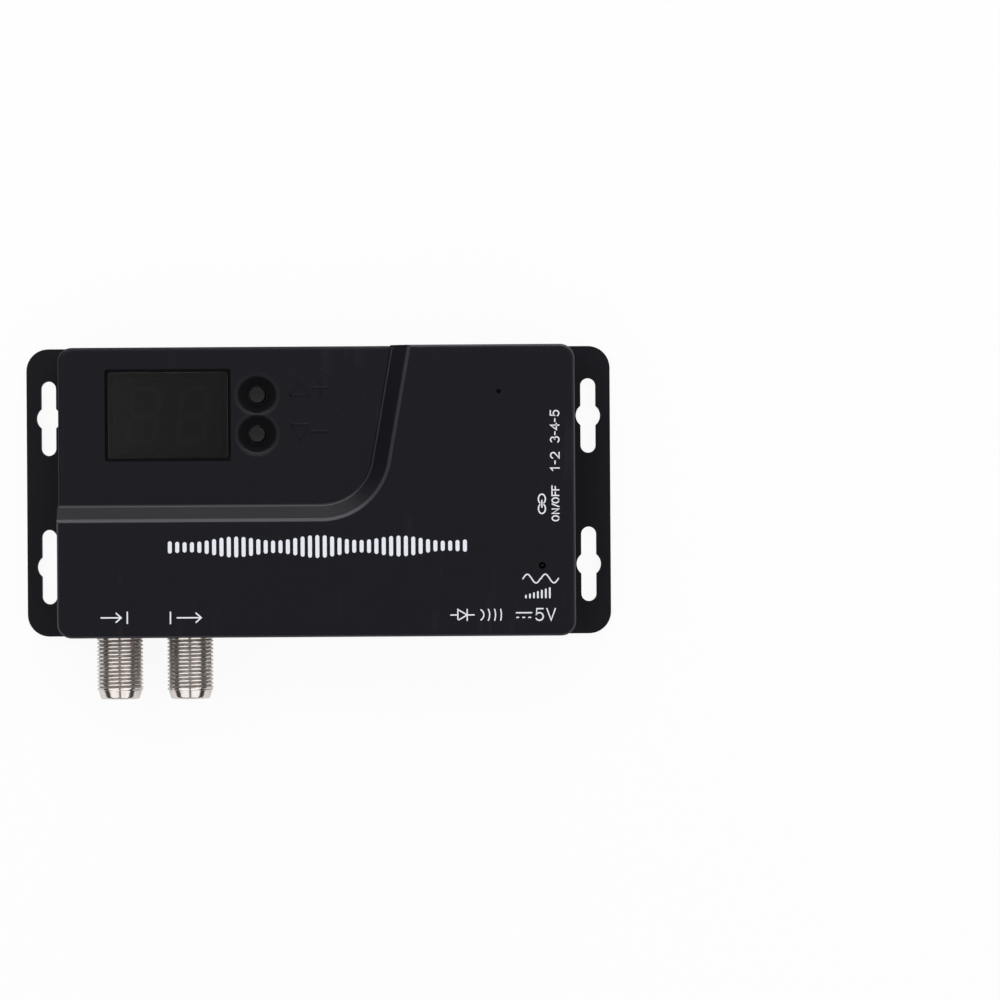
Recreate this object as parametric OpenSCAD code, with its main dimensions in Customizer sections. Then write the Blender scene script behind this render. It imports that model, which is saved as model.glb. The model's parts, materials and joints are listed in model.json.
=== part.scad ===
// Aerial modulator: a low moulded case on a flange with keyhole slots, two threaded
// aerial sockets, a two digit display with two channel buttons, and two slide switches.
// X runs along the case, Y to the rear and Z up, from the middle of the underside.

/* [Case] */
// Width of the case between its two ears
case_w = 107; // [104:0.5:130]
// Depth of the case and of the flange under it
case_d = 60.2; // [59:0.2:76]
// Height of the raised part of the cover above the underside
case_h = 20; // [19.6:0.2:26]
// Wall thickness of the cover
wall = 1.8; // [1.4:0.1:2]
// Radius of the upright corners of the cover
case_corner_r = 3; // [2.4:0.2:5]
// Radius along the top edges of the cover
edge_r = 0.8; // [0.4:0.1:1.2]

/* [Flange] */
// Reach of each ear beyond the case
ear_w = 7.6; // [7:0.1:12]
// Thickness of the base plate and its ears
flange_t = 2; // [1.6:0.1:2.6]
// Corner radius of the ears
flange_corner_r = 4.6; // [2:0.1:6]
// Distance between the middles of the two slots in one ear
slot_pitch = 31.1; // [22:0.1:34]
// Overall length of a keyhole slot
slot_len = 15.6; // [10:0.1:18]
// Width of a keyhole slot
slot_w = 3.15; // [2.5:0.05:4]
// Diameter of the round eye at the middle of a slot
slot_eye_d = 5.1; // [4.6:0.1:5.6]

/* [Recessed panel] */
// Drop from the raised part of the cover to the recessed panel
step_h = 3.2; // [2.2:0.1:3.8]
// Depth of the panel, from the rear face of the case to the foot of the front bevel
panel_d = 32.7; // [30:0.1:36]
// Width of the panel along the rear edge, to the foot of the side bevel
panel_w = 69; // [64:0.5:76]
// Lean of the side bevel in degrees
bevel_lean = 10; // [0:1:14]
// Plan width of the front bevel
front_bevel_w = 3.7; // [2.6:0.1:5]
// Plan width of the side bevel
side_bevel_w = 4.4; // [2.6:0.1:6]
// Radius where the two bevels meet, at their foot
panel_corner_r = 10.5; // [6:0.5:13]

/* [Display] */
// Width of the opening for the display window
cutout_w = 26.1; // [25:0.1:28]
// Depth of the opening for the display window
cutout_d = 19.1; // [18:0.1:21]
// Middle of the display from the left face of the case
display_from_left = 22.9; // [20:0.1:26]
// Middle of the display from the rear face of the case
display_from_rear = 14.2; // [13:0.1:16]
// Thickness of the smoked window
window_t = 1.2; // [0.8:0.1:1.4]
// Height of one digit
digit_h = 12; // [9:0.1:12.7]
// Width of one digit
digit_w = 6.4; // [5:0.1:7]
// Distance between the middles of the two digits
digit_pitch = 10.2; // [9.2:0.1:11]

/* [Buttons] */
// Diameter of a button stem
button_d = 3.3; // [2.8:0.1:3.5]
// Distance between the middles of the two buttons
button_pitch = 8.1; // [7.4:0.1:9.4]
// Middle of the buttons from the edge of the display opening
button_gap = 5.4; // [5.2:0.1:7]
// Travel of a button when it is pressed
button_travel = 0.3; // [0.2:0.05:0.35]
// Radius of the dished well round a button, at the panel surface
well_r = 4.7; // [4.2:0.1:5]
// Depth of the dished well
well_depth = 2.5; // [2.2:0.1:2.8]

/* [Slide switches] */
// Middle of the rear switch from the rear face of the case
switch_from_rear = 21.2; // [18:0.1:24]
// Distance between the middles of the two switches
switch_pitch = 11.8; // [10:0.1:14]
// Travel of a slider from one end to the other
switch_travel = 2; // [1.2:0.1:2.4]
// Width of the part of a slider that a finger moves
knob_w = 1.5; // [1.2:0.1:1.8]

/* [Aerial sockets] */
// Outside diameter of the threaded barrel
barrel_d = 9.5; // [9:0.05:10]
// Reach of an aerial socket beyond the case
barrel_reach = 12.8; // [10:0.1:15]
// Length of the threaded part of the barrel outside the case
thread_len = 10.9; // [7:0.1:12]
// Middle of the aerial input from the left face of the case
rf_from_left = 12.3; // [11.8:0.1:14]
// Distance between the two aerial sockets
rf_pitch = 14.6; // [11:0.1:17]

/* [Other sockets] */
// Middle of the infra-red jack from the right face of the case
jack_from_right = 20.3; // [18:0.1:24]
// Bore of the infra-red jack
jack_bore_d = 3.6; // [3.5:0.05:3.7]
// Middle of the power socket from the right face of the case
usb_from_right = 8.4; // [8:0.1:10]
// Middle of the video socket from the right face of the case
hdmi_from_right = 31.5; // [29:0.5:34]

/* [Board] */
// Gap under the circuit board
board_gap = 1.4; // [1.2:0.1:2]
// Thickness of the circuit board
board_t = 1.6; // [1.2:0.1:1.8]

/* [Hidden] */

// Overrun of every cut, and the thickness of a slice that a hull starts from
cut = 1;
slice = 0.01;
// Fits: pieces that only pass each other, pieces that seat, and rods that turn or slide
pass_gap = 0.3;
seat_gap = 0.1;
run_gap = 0.05;

// Places that follow from the case
half_w = case_w / 2;
half_d = case_d / 2;
inner_w = case_w - 2 * wall;
inner_d = case_d - 2 * wall;
panel_z = case_h - step_h;
panel_roof = panel_z - wall;
case_roof = case_h - wall;
flange_w = case_w + 2 * ear_w;
board_z = flange_t + board_gap;
board_top = board_z + board_t;

// The recessed part stands in a little from the raised part's walls
panel_inset = 0.15;
panel_x = -half_w + panel_w;
panel_y = half_d - panel_d;
bevel_angle = atan(step_h / front_bevel_w);
bevel_grow = wall * tan(bevel_angle / 2);

// Land between the case and the eye of a slot
slot_land = 0.45;
slot_x = half_w + slot_land + slot_eye_d / 2;

// Lip of the base plate that stands inside the cover
lip_t = 1.2;
lip_h = 2;
lip_w = inner_w - pass_gap;
lip_d = inner_d - pass_gap;

// Screws that hold the case, and the bosses that they go into
boss_r = 2.3;
boss_x = half_w - wall - boss_r - pass_gap;
boss_y = half_d - wall - boss_r - pass_gap;
pillar_h = 5;
boss_seat = flange_t + pillar_h;
screw_r = 1.1;
screw_head_r = 2;
screw_head_h = 1.1;
screw_len = 10;
usb_depth = 5.6;
front_boss_y = half_d - wall - usb_depth - boss_r - pass_gap;
// Each boss: its place and the roof that it hangs from
boss_places = [
    [-boss_x, boss_y, panel_roof], [boss_x, boss_y, case_roof],
    [-boss_x, -boss_y, case_roof], [boss_x, -front_boss_y, case_roof]
];

// Circuit board, its screws and the plain rests under it
board_side_gap = 0.35;
board_w = lip_w - 2 * (lip_t + board_side_gap);
board_d = lip_d - 2 * (lip_t + board_side_gap);
post_r = 2.6;
board_screw_head_r = 2;
board_screw_head_h = 1.4;
board_screw_len = 3;
rest_share = [[-0.46, 0.05], [0.46, 0.3], [-0.05, 0.02]];
rest_places = [for (s = rest_share) [s[0] * board_w, s[1] * board_d]];

// Display: opening, window and the module behind it
display_x = -half_w + display_from_left;
display_y = half_d - display_from_rear;
window_gap = 0.55;
window_drop = 0.35;
window_r = 0.9;
cutout_r = 0.6;
ledge_w = 1.3;
ledge_t = 0.85;
frame_t = 1.2;
window_w = cutout_w - 2 * window_gap;
window_d = cutout_d - 2 * window_gap;
window_z = panel_z - window_drop - window_t;
module_w = window_w - 0.6 * window_gap;
module_d = window_d - 0.6 * window_gap;
module_top = window_z - ledge_t - pass_gap;
module_wall = 0.8;
segment_t = 1.1;
segment_gap = 0.3;
segment_depth = 0.4;
segment_lean = 6;
pin_r = 0.25;
pin_pitch = 2.54;

// Buttons and the push switches under them
button_x = display_x + cutout_w / 2 + button_gap;
up_y = display_y + button_pitch / 2;
down_y = display_y - button_pitch / 2;
button_r = button_d / 2;
button_hole_r = button_r + 2 * seat_gap;
button_drop = 0.3;
button_dish = 0.12;
flare_r = 1.2;
flare_turn = 65;
flare_steps = 7;
flare_end_r = well_r - flare_r * sin(flare_turn);
flare_end_z = -flare_r + flare_r * cos(flare_turn);
// The bowl is the arc that leaves the rim at its slope and ends on a narrow flat round the hole
well_flat = 0.15;
bowl_steps = 7;
bowl_end_r = button_hole_r + well_flat;
bowl_in = flare_end_r - bowl_end_r;
bowl_down = well_depth + flare_end_z;
bowl_r = (bowl_in * bowl_in + bowl_down * bowl_down)
    / (2 * (bowl_in * sin(flare_turn) - bowl_down * cos(flare_turn)));
bowl_mid_r = flare_end_r - bowl_r * sin(flare_turn);
bowl_mid_z = flare_end_z + bowl_r * cos(flare_turn);
bowl_turn = asin((bowl_end_r - bowl_mid_r) / bowl_r);
cup_r = 4.15;
cup_floor = 1;
push_w = 6;
push_h = 3.1;
push_well_r = 2.6;
push_frame_t = 0.3;
collar_r = 2.3;
collar_h = 0.8;
dome_r = 2.2;
dome_h = 0.6;
// The collar, pressed right down, just clears the dome
push_floor = push_h - collar_h - button_travel - dome_h - 3 * run_gap;
push_tab_w = 2;

// Slide switches
switch_x = half_w - wall - pass_gap;
rear_switch_y = half_d - switch_from_rear;
front_switch_y = rear_switch_y - switch_pitch;
slide_body_w = 4.4;
slide_body_l = 8.6;
slide_body_h = 3.8;
slide_wall = 0.6;
slide_gap = 0.15;
carriage_w = 2.4;
carriage_l = 4;
knob_h = 1.5;
knob_sink = 0.3;
slide_z = board_top + slide_body_h / 2;
knob_slot_l = knob_w + switch_travel + 2 * pass_gap;
knob_slot_h = knob_h + 2 * pass_gap;

// Aerial sockets
// Height of the barrel's middle, as a share of the room between the board and the roof
rf_rise_share = 5 / 12;
rf_rise = rf_rise_share * (case_roof - board_top);
rf_z = board_top + rf_rise;
rf_in_x = -half_w + rf_from_left;
rf_out_x = rf_in_x + rf_pitch;
barrel_r = barrel_d / 2;
neck_step = 0.25;
neck_r = barrel_r - neck_step;
nose_r = 4.45;
nose_tip_r = 3.9;
rf_block_w = 10;
rf_block_l = 6.6;
rf_block_top = 5.1;
insulator_r = 3.1;
insulator_sink = 0.4;
contact_r = 0.85;
contact_bore_r = 0.45;
entry_r = 0.65;
entry_len = 1.2;
tail_r = 0.4;
rf_block_y = -half_d + wall + seat_gap;
rf_block_back = rf_block_y + rf_block_l;

// Shield can behind the aerial sockets
shield_t = 0.4;
shield_w = 27;
shield_h = 5.5;
shield_gap = 1.9;
shield_module_gap = 4.8;
shield_x = (rf_in_x + rf_out_x) / 2;
shield_front = rf_block_back + shield_gap;
shield_d = display_y - module_d / 2 - shield_module_gap - shield_front;
shield_y = shield_front + shield_d / 2;
lid_t = 0.3;
lid_skirt = 2;
vent_r = 0.8;
vent_pitch = 5;

// Infra-red jack
jack_x = half_w - jack_from_right;
jack_w = 6.4;
jack_l = 11.5;
jack_h = 5.4;
jack_nose_r = 2.9;
jack_sink = 0.3;
jack_depth = 11;
jack_strip_t = 0.3;
jack_strip_w = 1.2;
jack_pocket = 0.5;
jack_y = -half_d + wall + seat_gap;
jack_z = board_top + jack_h / 2;

// Power socket: its shell narrows towards the board
usb_x = half_w - usb_from_right;
usb_w = 7.5;
usb_h = 2.6;
usb_taper = 0.9;
usb_t = 0.3;
usb_sink = 0.4;
usb_tongue_w = 3.8;
usb_tongue_t = 0.6;
usb_back = 0.8;

// Video socket: its shell has its lower corners cut off
hdmi_x = half_w - hdmi_from_right;
hdmi_w = 15;
hdmi_h = 5.6;
hdmi_taper = 1.6;
hdmi_t = 0.35;
hdmi_depth = 11;
hdmi_sink = 0.2;
hdmi_tongue_w = 11.2;
hdmi_tongue_t = 1.1;
hdmi_back = 4;
hdmi_mouth = 1.2;
strip_w = 0.45;
strip_t = 0.1;
strip_pitch = 1;

// Small lights under the two pinholes
signal_from_right = 6.9;
signal_from_front = 14.5;
power_from_right = 15.7;
power_from_rear = 9.7;
signal_hole_r = 0.73;
power_hole_r = 0.45;
signal_x = half_w - signal_from_right;
signal_y = -half_d + signal_from_front;
power_x = half_w - power_from_right;
power_y = half_d - power_from_rear;
led_r = 1.5;
led_flange_r = 1.8;
led_flange_h = 1;
led_h = 5;
led_drop = 0.9;
led_z = case_roof - led_drop - led_h;
lead_w = 0.5;
lead_pitch = 1.6;

// Larger parts on the board: their sizes and the free strips between them
part_gap = 2.8;
small_gap = part_gap / 2;
chip_t = 1.4;
chip_leg_w = 0.25;
chip_leg_out = 1;
chip_leg_t = 0.15;
video_chip_w = 14;
hdmi_chip_w = 10;
memory_chip_w = 5.3;
modulator_chip_w = 7;
crystal_l = 11.2;
crystal_w = 4.6;
crystal_h = 3.5;
cap_r = 2.5;
cap_h = 5.4;
cap_base_h = 0.9;
inductor_w = 6;
inductor_h = 3;
regulator_w = 6.5;
regulator_d = 3.5;
regulator_h = 1.7;
chip_part_l = 1.6;
chip_part_w = 0.8;
chip_part_h = 0.5;
chip_part_pitch = 2.4;

// Their places: beside the shield, in front of the video socket, and behind the front sockets
video_chip_x = shield_x + shield_w / 2 + part_gap + video_chip_w / 2;
video_chip_y = shield_front + video_chip_w / 2;
crystal_x = video_chip_x + video_chip_w / 2 + part_gap + crystal_l / 2;
crystal_y = video_chip_y + video_chip_w / 2;
memory_chip_x = button_x + push_w / 2 + small_gap + memory_chip_w / 2;
memory_chip_y = down_y;
hdmi_chip_y = half_d - hdmi_depth - 2 * part_gap - hdmi_chip_w / 2;
cap_y = jack_y + jack_l + small_gap + cap_r;
cap_places = [for (i = [-1:1]) [jack_x + i * (2 * cap_r + small_gap), cap_y]];
inductor_x = switch_x - slide_body_w - 2 * part_gap - inductor_w / 2;
inductor_y = cap_y + cap_r + part_gap + inductor_w / 2;
regulator_x = jack_x + jack_w / 2 + small_gap + regulator_w / 2;
regulator_y = -half_d + usb_depth + part_gap + regulator_d / 2;

// Screws that hold the board, beside an aerial socket, the jack and the video socket
board_screw_land = board_screw_head_r + 5 * seat_gap;
board_screw_y = board_d / 2 - post_r;
board_screw_places = [
    [rf_out_x + rf_block_w / 2 + board_screw_land, -board_screw_y],
    [jack_x - jack_w / 2 - board_screw_land, -board_screw_y],
    [hdmi_x - hdmi_w / 2 - board_screw_land, board_screw_y]
];

// Colours, as the object shows them
case_col = [0.13, 0.13, 0.15];
smoke_col = [0.09, 0.09, 0.1];
dark_col = [0.05, 0.05, 0.055];
button_col = [0.2, 0.2, 0.21];
nickel_col = [0.78, 0.77, 0.74];
steel_col = [0.7, 0.71, 0.73];
brass_col = [0.8, 0.66, 0.3];
white_col = [0.9, 0.9, 0.88];
board_col = [0.05, 0.3, 0.16];
segment_col = [0.35, 0.1, 0.1];
chip_col = [0.08, 0.08, 0.08];

// A rectangle with round corners, about the origin
module round_rect(w, d, r) {
    hw = w / 2 - r;
    hd = d / 2 - r;
    union() {
        square([w, 2 * hd], center = true);
        square([2 * hw, d], center = true);
        for (sx = [-1, 1], sy = [-1, 1]) translate([sx * hw, sy * hd]) circle(r, $fn = 64);
    }
}

// A plate with round corners, standing on z
module round_plate(w, d, h, r, z = 0) {
    translate([0, 0, z]) linear_extrude(h) round_rect(w, d, r);
}

// A box on z, centred in x and y
module block(w, d, h, z = 0) {
    translate([-w / 2, -d / 2, z]) cube([w, d, h]);
}

// A rod along y from y0 to y1, at height z
module rod_y(r, y0, y1, z = 0, tip = 0) {
    translate([0, y0, z]) rotate([-90, 0, 0])
        cylinder(h = y1 - y0, r1 = r, r2 = tip > 0 ? tip : r, $fn = 96);
}

// One corner post of the cover, its top edge rounded by the edge radius
module corner_post(r, h) {
    steps = 6;
    rotate_extrude($fn = 32) polygon(concat(
        [[0, 0], [r, 0]],
        [for (i = [0:steps]) [
            r - edge_r + edge_r * cos(90 * i / steps),
            h - edge_r + edge_r * sin(90 * i / steps)]],
        [[0, h]]));
}

// The cover's outside as one block, standing in by inset, up to the height top
module cover_block(inset, top) {
    r = case_corner_r - inset;
    hull() for (sx = [-1, 1], sy = [-1, 1])
        translate([sx * (half_w - case_corner_r), sy * (half_d - case_corner_r), flange_t])
            corner_post(r, top - flange_t);
}

// Outline of the recessed panel, grown by grow: straight in front, leaning at the side,
// with a round corner between, and past the case's left and rear faces
module panel_outline(grow, side, front, r) {
    turn_r = r + grow;
    cy = front - grow + turn_r;
    cx = side + grow / cos(bevel_lean)
        - (turn_r + (half_d - cy) * sin(bevel_lean)) / cos(bevel_lean);
    steps = 20;
    polygon(concat(
        [for (i = [0:steps]) let (a = -90 + (90 - bevel_lean) * i / steps)
            [cx + turn_r * cos(a), cy + turn_r * sin(a)]],
        [[side + grow / cos(bevel_lean) + cut * tan(bevel_lean), half_d + cut],
         [-half_w - cut, half_d + cut],
         [-half_w - cut, front - grow]]));
}

// The space over the recessed panel: its floor at z0, its mouth at z1, grown by grow
module panel_space(z0, z1, grow, above) {
    hull() {
        translate([0, 0, z0]) linear_extrude(slice)
            panel_outline(grow, panel_x, panel_y, panel_corner_r);
        translate([0, 0, z1]) linear_extrude(above)
            panel_outline(grow, panel_x + side_bevel_w / cos(bevel_lean),
                panel_y - front_bevel_w, panel_corner_r + side_bevel_w);
    }
}

// The cover's outside: the recessed block, and the raised block less the panel's space
module cover_outside() {
    cover_block(panel_inset, panel_z);
    difference() {
        cover_block(0, case_h);
        panel_space(panel_z, case_h, 0, cut);
        translate([0, 0, -cut]) linear_extrude(panel_z + cut + slice)
            panel_outline(0, panel_x, panel_y, panel_corner_r);
    }
}

// The cover's inside, whose roof follows the step
module cover_inside() {
    difference() {
        round_plate(inner_w, inner_d, case_roof - flange_t + cut, case_corner_r - wall,
            flange_t - cut);
        panel_space(panel_roof, case_roof, bevel_grow, cut);
    }
}

// Cutter for one dished well: a rim that rolls over into a steep bowl, and a flat round the hole
module well_cutter() {
    rotate_extrude($fn = 96) polygon(concat(
        [[0, cut], [well_r, cut], [well_r, 0]],
        [for (i = [1:flare_steps]) let (a = 90 + flare_turn * i / flare_steps)
            [well_r + flare_r * cos(a), -flare_r + flare_r * sin(a)]],
        [for (i = [1:bowl_steps]) let (a = flare_turn + (bowl_turn - flare_turn) * i / bowl_steps)
            [bowl_mid_r + bowl_r * sin(a), bowl_mid_z - bowl_r * cos(a)]],
        [[0, -well_depth]]));
}

// Frame under the roof that carries the display window on a ledge
module window_frame() {
    translate([display_x, display_y])
        round_plate(cutout_w + 2 * frame_t, cutout_d + 2 * frame_t,
            panel_roof - window_z + ledge_t + wall / 2, cutout_r + frame_t,
            window_z - ledge_t);
}

// Openings in the cover's walls for the sockets and the sliders
module wall_openings() {
    for (x = [rf_in_x, rf_out_x]) translate([x, 0])
        rod_y(barrel_r + 2 * seat_gap, -half_d - cut, -half_d + wall + cut, rf_z);
    translate([jack_x, 0])
        rod_y(jack_nose_r + 2 * seat_gap, -half_d - cut, -half_d + wall + cut, jack_z);
    translate([usb_x, -half_d + wall / 2, board_top - pass_gap])
        block(usb_w + 2 * pass_gap, wall + 2 * cut, usb_h + 2 * pass_gap);
    translate([hdmi_x, half_d - wall / 2, board_top - pass_gap])
        block(hdmi_w + 2 * pass_gap, wall + 2 * cut, hdmi_h + 2 * pass_gap);
    for (y = [rear_switch_y, front_switch_y])
        translate([half_w - wall / 2, y, slide_z - knob_slot_h / 2])
            block(wall + 2 * cut, knob_slot_l, knob_slot_h);
}

module top_cover() {
    color(case_col) difference() {
        union() {
            difference() {
                cover_outside();
                cover_inside();
            }
            for (p = boss_places) translate([p[0], p[1], boss_seat])
                cylinder(h = p[2] - boss_seat + wall / 2, r = boss_r, $fn = 48);
            window_frame();
            for (y = [up_y, down_y])
                translate([button_x, y, panel_z - well_depth - cup_floor])
                    cylinder(h = well_depth + cup_floor - wall / 2, r = cup_r, $fn = 48);
        }
        translate([display_x, display_y]) {
            round_plate(cutout_w, cutout_d, wall + window_drop + window_t + cut, cutout_r, window_z);
            round_plate(window_w - 2 * ledge_w, window_d - 2 * ledge_w, ledge_t + 2 * cut,
                window_r, window_z - ledge_t - cut);
        }
        for (y = [up_y, down_y]) translate([button_x, y, panel_z]) {
            well_cutter();
            translate([0, 0, -well_depth - cup_floor - cut])
                cylinder(h = cup_floor + 2 * cut, r = button_hole_r, $fn = 64);
        }
        for (p = boss_places) translate([p[0], p[1], boss_seat - cut])
            cylinder(h = screw_len - boss_seat + cut + 2 * seat_gap + screw_head_h,
                r = screw_r + run_gap, $fn = 32);
        translate([signal_x, signal_y, case_roof - cut])
            cylinder(h = wall + 2 * cut, r = signal_hole_r, $fn = 32);
        translate([power_x, power_y, case_roof - cut])
            cylinder(h = wall + 2 * cut, r = power_hole_r, $fn = 32);
        wall_openings();
    }
}

// One keyhole slot, along y, with its round eye at the middle
module keyhole() {
    translate([0, 0, -cut]) {
        linear_extrude(flange_t + 2 * cut)
            square([slot_w, slot_len - slot_w], center = true);
        for (s = [-1, 1]) translate([0, s * (slot_len - slot_w) / 2])
            cylinder(h = flange_t + 2 * cut, r = slot_w / 2, $fn = 48);
        cylinder(h = flange_t + 2 * cut, r = slot_eye_d / 2, $fn = 48);
    }
}

module base_plate() {
    color(case_col) difference() {
        union() {
            round_plate(flange_w, case_d, flange_t, flange_corner_r);
            difference() {
                round_plate(lip_w, lip_d, lip_h + slice, case_corner_r - wall, flange_t - slice);
                round_plate(lip_w - 2 * lip_t, lip_d - 2 * lip_t, lip_h + 2 * cut,
                    case_corner_r - wall, flange_t - slice);
            }
            for (p = boss_places) translate([p[0], p[1], flange_t / 2])
                cylinder(h = boss_seat - seat_gap - flange_t / 2, r = boss_r, $fn = 48);
            for (p = board_screw_places) translate([p[0], p[1], flange_t / 2])
                cylinder(h = board_z - flange_t / 2, r = post_r, $fn = 48);
            for (p = rest_places) translate([p[0], p[1], flange_t / 2])
                cylinder(h = board_z - flange_t / 2, r = post_r / 2, $fn = 48);
        }
        for (sx = [-1, 1], sy = [-1, 1])
            translate([sx * slot_x, sy * slot_pitch / 2]) keyhole();
        for (p = boss_places) translate([p[0], p[1], -cut]) {
            cylinder(h = screw_head_h + seat_gap + cut, r = screw_head_r + seat_gap, $fn = 48);
            cylinder(h = boss_seat + 2 * cut, r = screw_r + 2 * seat_gap, $fn = 32);
        }
        for (p = board_screw_places) translate([p[0], p[1], flange_t / 2])
            cylinder(h = board_gap + flange_t, r = screw_r + run_gap, $fn = 32);
    }
}

module display_window() {
    color(smoke_col) translate([display_x, display_y])
        round_plate(window_w, window_d, window_t, window_r, window_z);
}

// A screw standing head down, its shank up to len above the head's face
module screw(head_r, head_h, len) {
    cylinder(h = head_h, r = head_r, $fn = 48);
    cylinder(h = len, r = screw_r, $fn = 32);
}

module case_screws() {
    color(steel_col) for (p = boss_places) translate([p[0], p[1], seat_gap])
        screw(screw_head_r, screw_head_h - seat_gap, screw_len);
}

module board_screws() {
    color(steel_col) for (p = board_screw_places)
        translate([p[0], p[1], board_top + board_screw_head_h]) mirror([0, 0, 1])
            screw(board_screw_head_r, board_screw_head_h, board_screw_head_h + board_screw_len);
}

// Pins under the display, one row in front and one behind
module pin_rows(r, z0, z1) {
    for (i = [-2:2], s = [-1, 1])
        translate([display_x + i * pin_pitch, display_y + s * (module_d / 2 - pin_pitch / 2), z0])
            cylinder(h = z1 - z0, r = r, $fn = 16);
}

module circuit_board() {
    color(board_col) difference() {
        translate([0, 0, board_z]) block(board_w, board_d, board_t);
        for (p = boss_places) translate([p[0], p[1], board_z - cut])
            cylinder(h = board_t + 2 * cut, r = boss_r + pass_gap, $fn = 48);
        for (p = boss_places) translate([sign(p[0]) * half_w, p[1], board_z - cut])
            block(2 * (half_w - abs(p[0])), 2 * (boss_r + pass_gap), board_t + 2 * cut);
        for (p = board_screw_places) translate([p[0], p[1], board_z - cut])
            cylinder(h = board_t + 2 * cut, r = screw_r + seat_gap, $fn = 32);
        pin_rows(pin_r + seat_gap, board_z - cut, board_top + cut);
    }
}

module display_module() {
    color(dark_col) difference() {
        translate([display_x, display_y, board_top]) block(module_w, module_d, module_top - board_top);
        translate([display_x, display_y, board_top - cut])
            block(module_w - 2 * module_wall, module_d - 2 * module_wall - 2 * pin_pitch,
                cut + 2 * module_wall);
        translate([0, 0, module_top - segment_depth]) digits(segment_depth + cut, run_gap);
        pin_rows(pin_r + run_gap, board_top - cut, board_top + 2 * module_wall);
    }
}

// One bar of a digit: a long hexagon along x, grown by grow
module bar(len, grow) {
    l = len / 2 - segment_gap + grow;
    t = segment_t / 2 + grow;
    polygon([[-l, 0], [t - l, t], [l - t, t], [l, 0], [l - t, -t], [t - l, -t]]);
}

// Both digits with their dots, h thick, each bar grown by grow
module digits(h, grow) {
    bar_w = digit_w - segment_t;
    bar_h = (digit_h - segment_t) / 2;
    for (d = [-1, 1]) translate([display_x + d * digit_pitch / 2, display_y])
        linear_extrude(h) multmatrix([[1, tan(segment_lean), 0, 0], [0, 1, 0, 0], [0, 0, 1, 0]]) {
            for (i = [-1:1]) translate([0, i * bar_h]) bar(bar_w, grow);
            for (s = [-1, 1], v = [-1, 1])
                translate([s * bar_w / 2, v * bar_h / 2]) rotate(90) bar(bar_h, grow);
        }
}

module display_segments() {
    color(segment_col) translate([0, 0, module_top - segment_depth]) digits(segment_depth, 0);
}

module display_pins() {
    color(steel_col) pin_rows(pin_r, board_z - board_gap / 2, board_top + 2 * module_wall - run_gap);
}

// Body of a push switch on the board: a cup for the collar and the dome
module push_switch(y) {
    color(dark_col) translate([button_x, y, board_top]) difference() {
        block(push_w, push_w, push_h);
        translate([0, 0, push_floor]) cylinder(h = push_h, r = push_well_r, $fn = 64);
    }
}

// Stem of a push switch, which stands up through the cover as the button
module push_button(y) {
    stem_top = panel_z - button_drop;
    collar_top = board_top + push_h - run_gap;
    color(button_col) translate([button_x, y]) difference() {
        union() {
            translate([0, 0, collar_top - collar_h]) cylinder(h = collar_h, r = collar_r, $fn = 64);
            translate([0, 0, collar_top - collar_h])
                cylinder(h = stem_top - collar_top + collar_h, r = button_r, $fn = 64);
        }
        translate([0, 0, stem_top - button_dish])
            cylinder(h = button_dish + slice, r1 = button_r / 2, r2 = button_r - 2 * button_dish, $fn = 64);
    }
}

module channel_up_switch() { push_switch(up_y); }
module channel_up_button() { push_button(up_y); }
module channel_down_switch() { push_switch(down_y); }
module channel_down_button() { push_button(down_y); }

module switch_frames() {
    color(steel_col) for (y = [up_y, down_y]) translate([button_x, y, board_top]) {
        difference() {
            block(push_w, push_w, push_frame_t, push_h);
            translate([0, 0, push_h - cut])
                cylinder(h = push_frame_t + 2 * cut, r = button_r + 2 * seat_gap, $fn = 64);
        }
        for (s = [-1, 1]) translate([s * (push_w / 2 + push_frame_t / 2), 0])
            block(push_frame_t, push_tab_w, push_h + push_frame_t);
    }
}

module switch_domes() {
    dome_ball = (dome_r * dome_r + dome_h * dome_h) / (2 * dome_h);
    color(steel_col) for (y = [up_y, down_y])
        translate([button_x, y, board_top + push_floor]) intersection() {
            translate([0, 0, dome_h - dome_ball]) sphere(dome_ball, $fn = 96);
            cylinder(h = dome_h + cut, r = dome_r, $fn = 64);
        }
}

// Body of a slide switch: a closed case with a channel for the carriage
module slide_body(y) {
    channel_l = carriage_l + switch_travel + 2 * slide_gap;
    channel_w = carriage_w + 2 * slide_gap;
    channel_h = slide_body_h - 2 * slide_wall;
    color(steel_col) translate([switch_x, y]) difference() {
        translate([-slide_body_w / 2, 0, board_top]) block(slide_body_w, slide_body_l, slide_body_h);
        translate([-slide_wall - channel_w / 2, 0, slide_z - channel_h / 2])
            block(channel_w, channel_l, channel_h);
        translate([0, 0, slide_z - knob_h / 2 - slide_gap])
            block(2 * (slide_wall + cut / 2), knob_w + switch_travel + 2 * slide_gap,
                knob_h + 2 * slide_gap);
    }
}

// Slider at the front end of its travel: a carriage and the knob that a finger moves
module slider(y) {
    carriage_h = slide_body_h - 2 * slide_wall - 2 * slide_gap;
    knob_x = half_w - knob_sink;
    carriage_x = switch_x - slide_wall - slide_gap - carriage_w / 2;
    color(dark_col) translate([0, y - switch_travel / 2]) {
        translate([carriage_x, 0, slide_z - carriage_h / 2]) block(carriage_w, carriage_l, carriage_h);
        translate([(carriage_x + knob_x) / 2, 0, slide_z - knob_h / 2])
            block(knob_x - carriage_x, knob_w, knob_h);
    }
}

module standard_switch_body() { slide_body(rear_switch_y); }
module standard_slider() { slider(rear_switch_y); }
module link_switch_body() { slide_body(front_switch_y); }
module link_slider() { slider(front_switch_y); }

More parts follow.
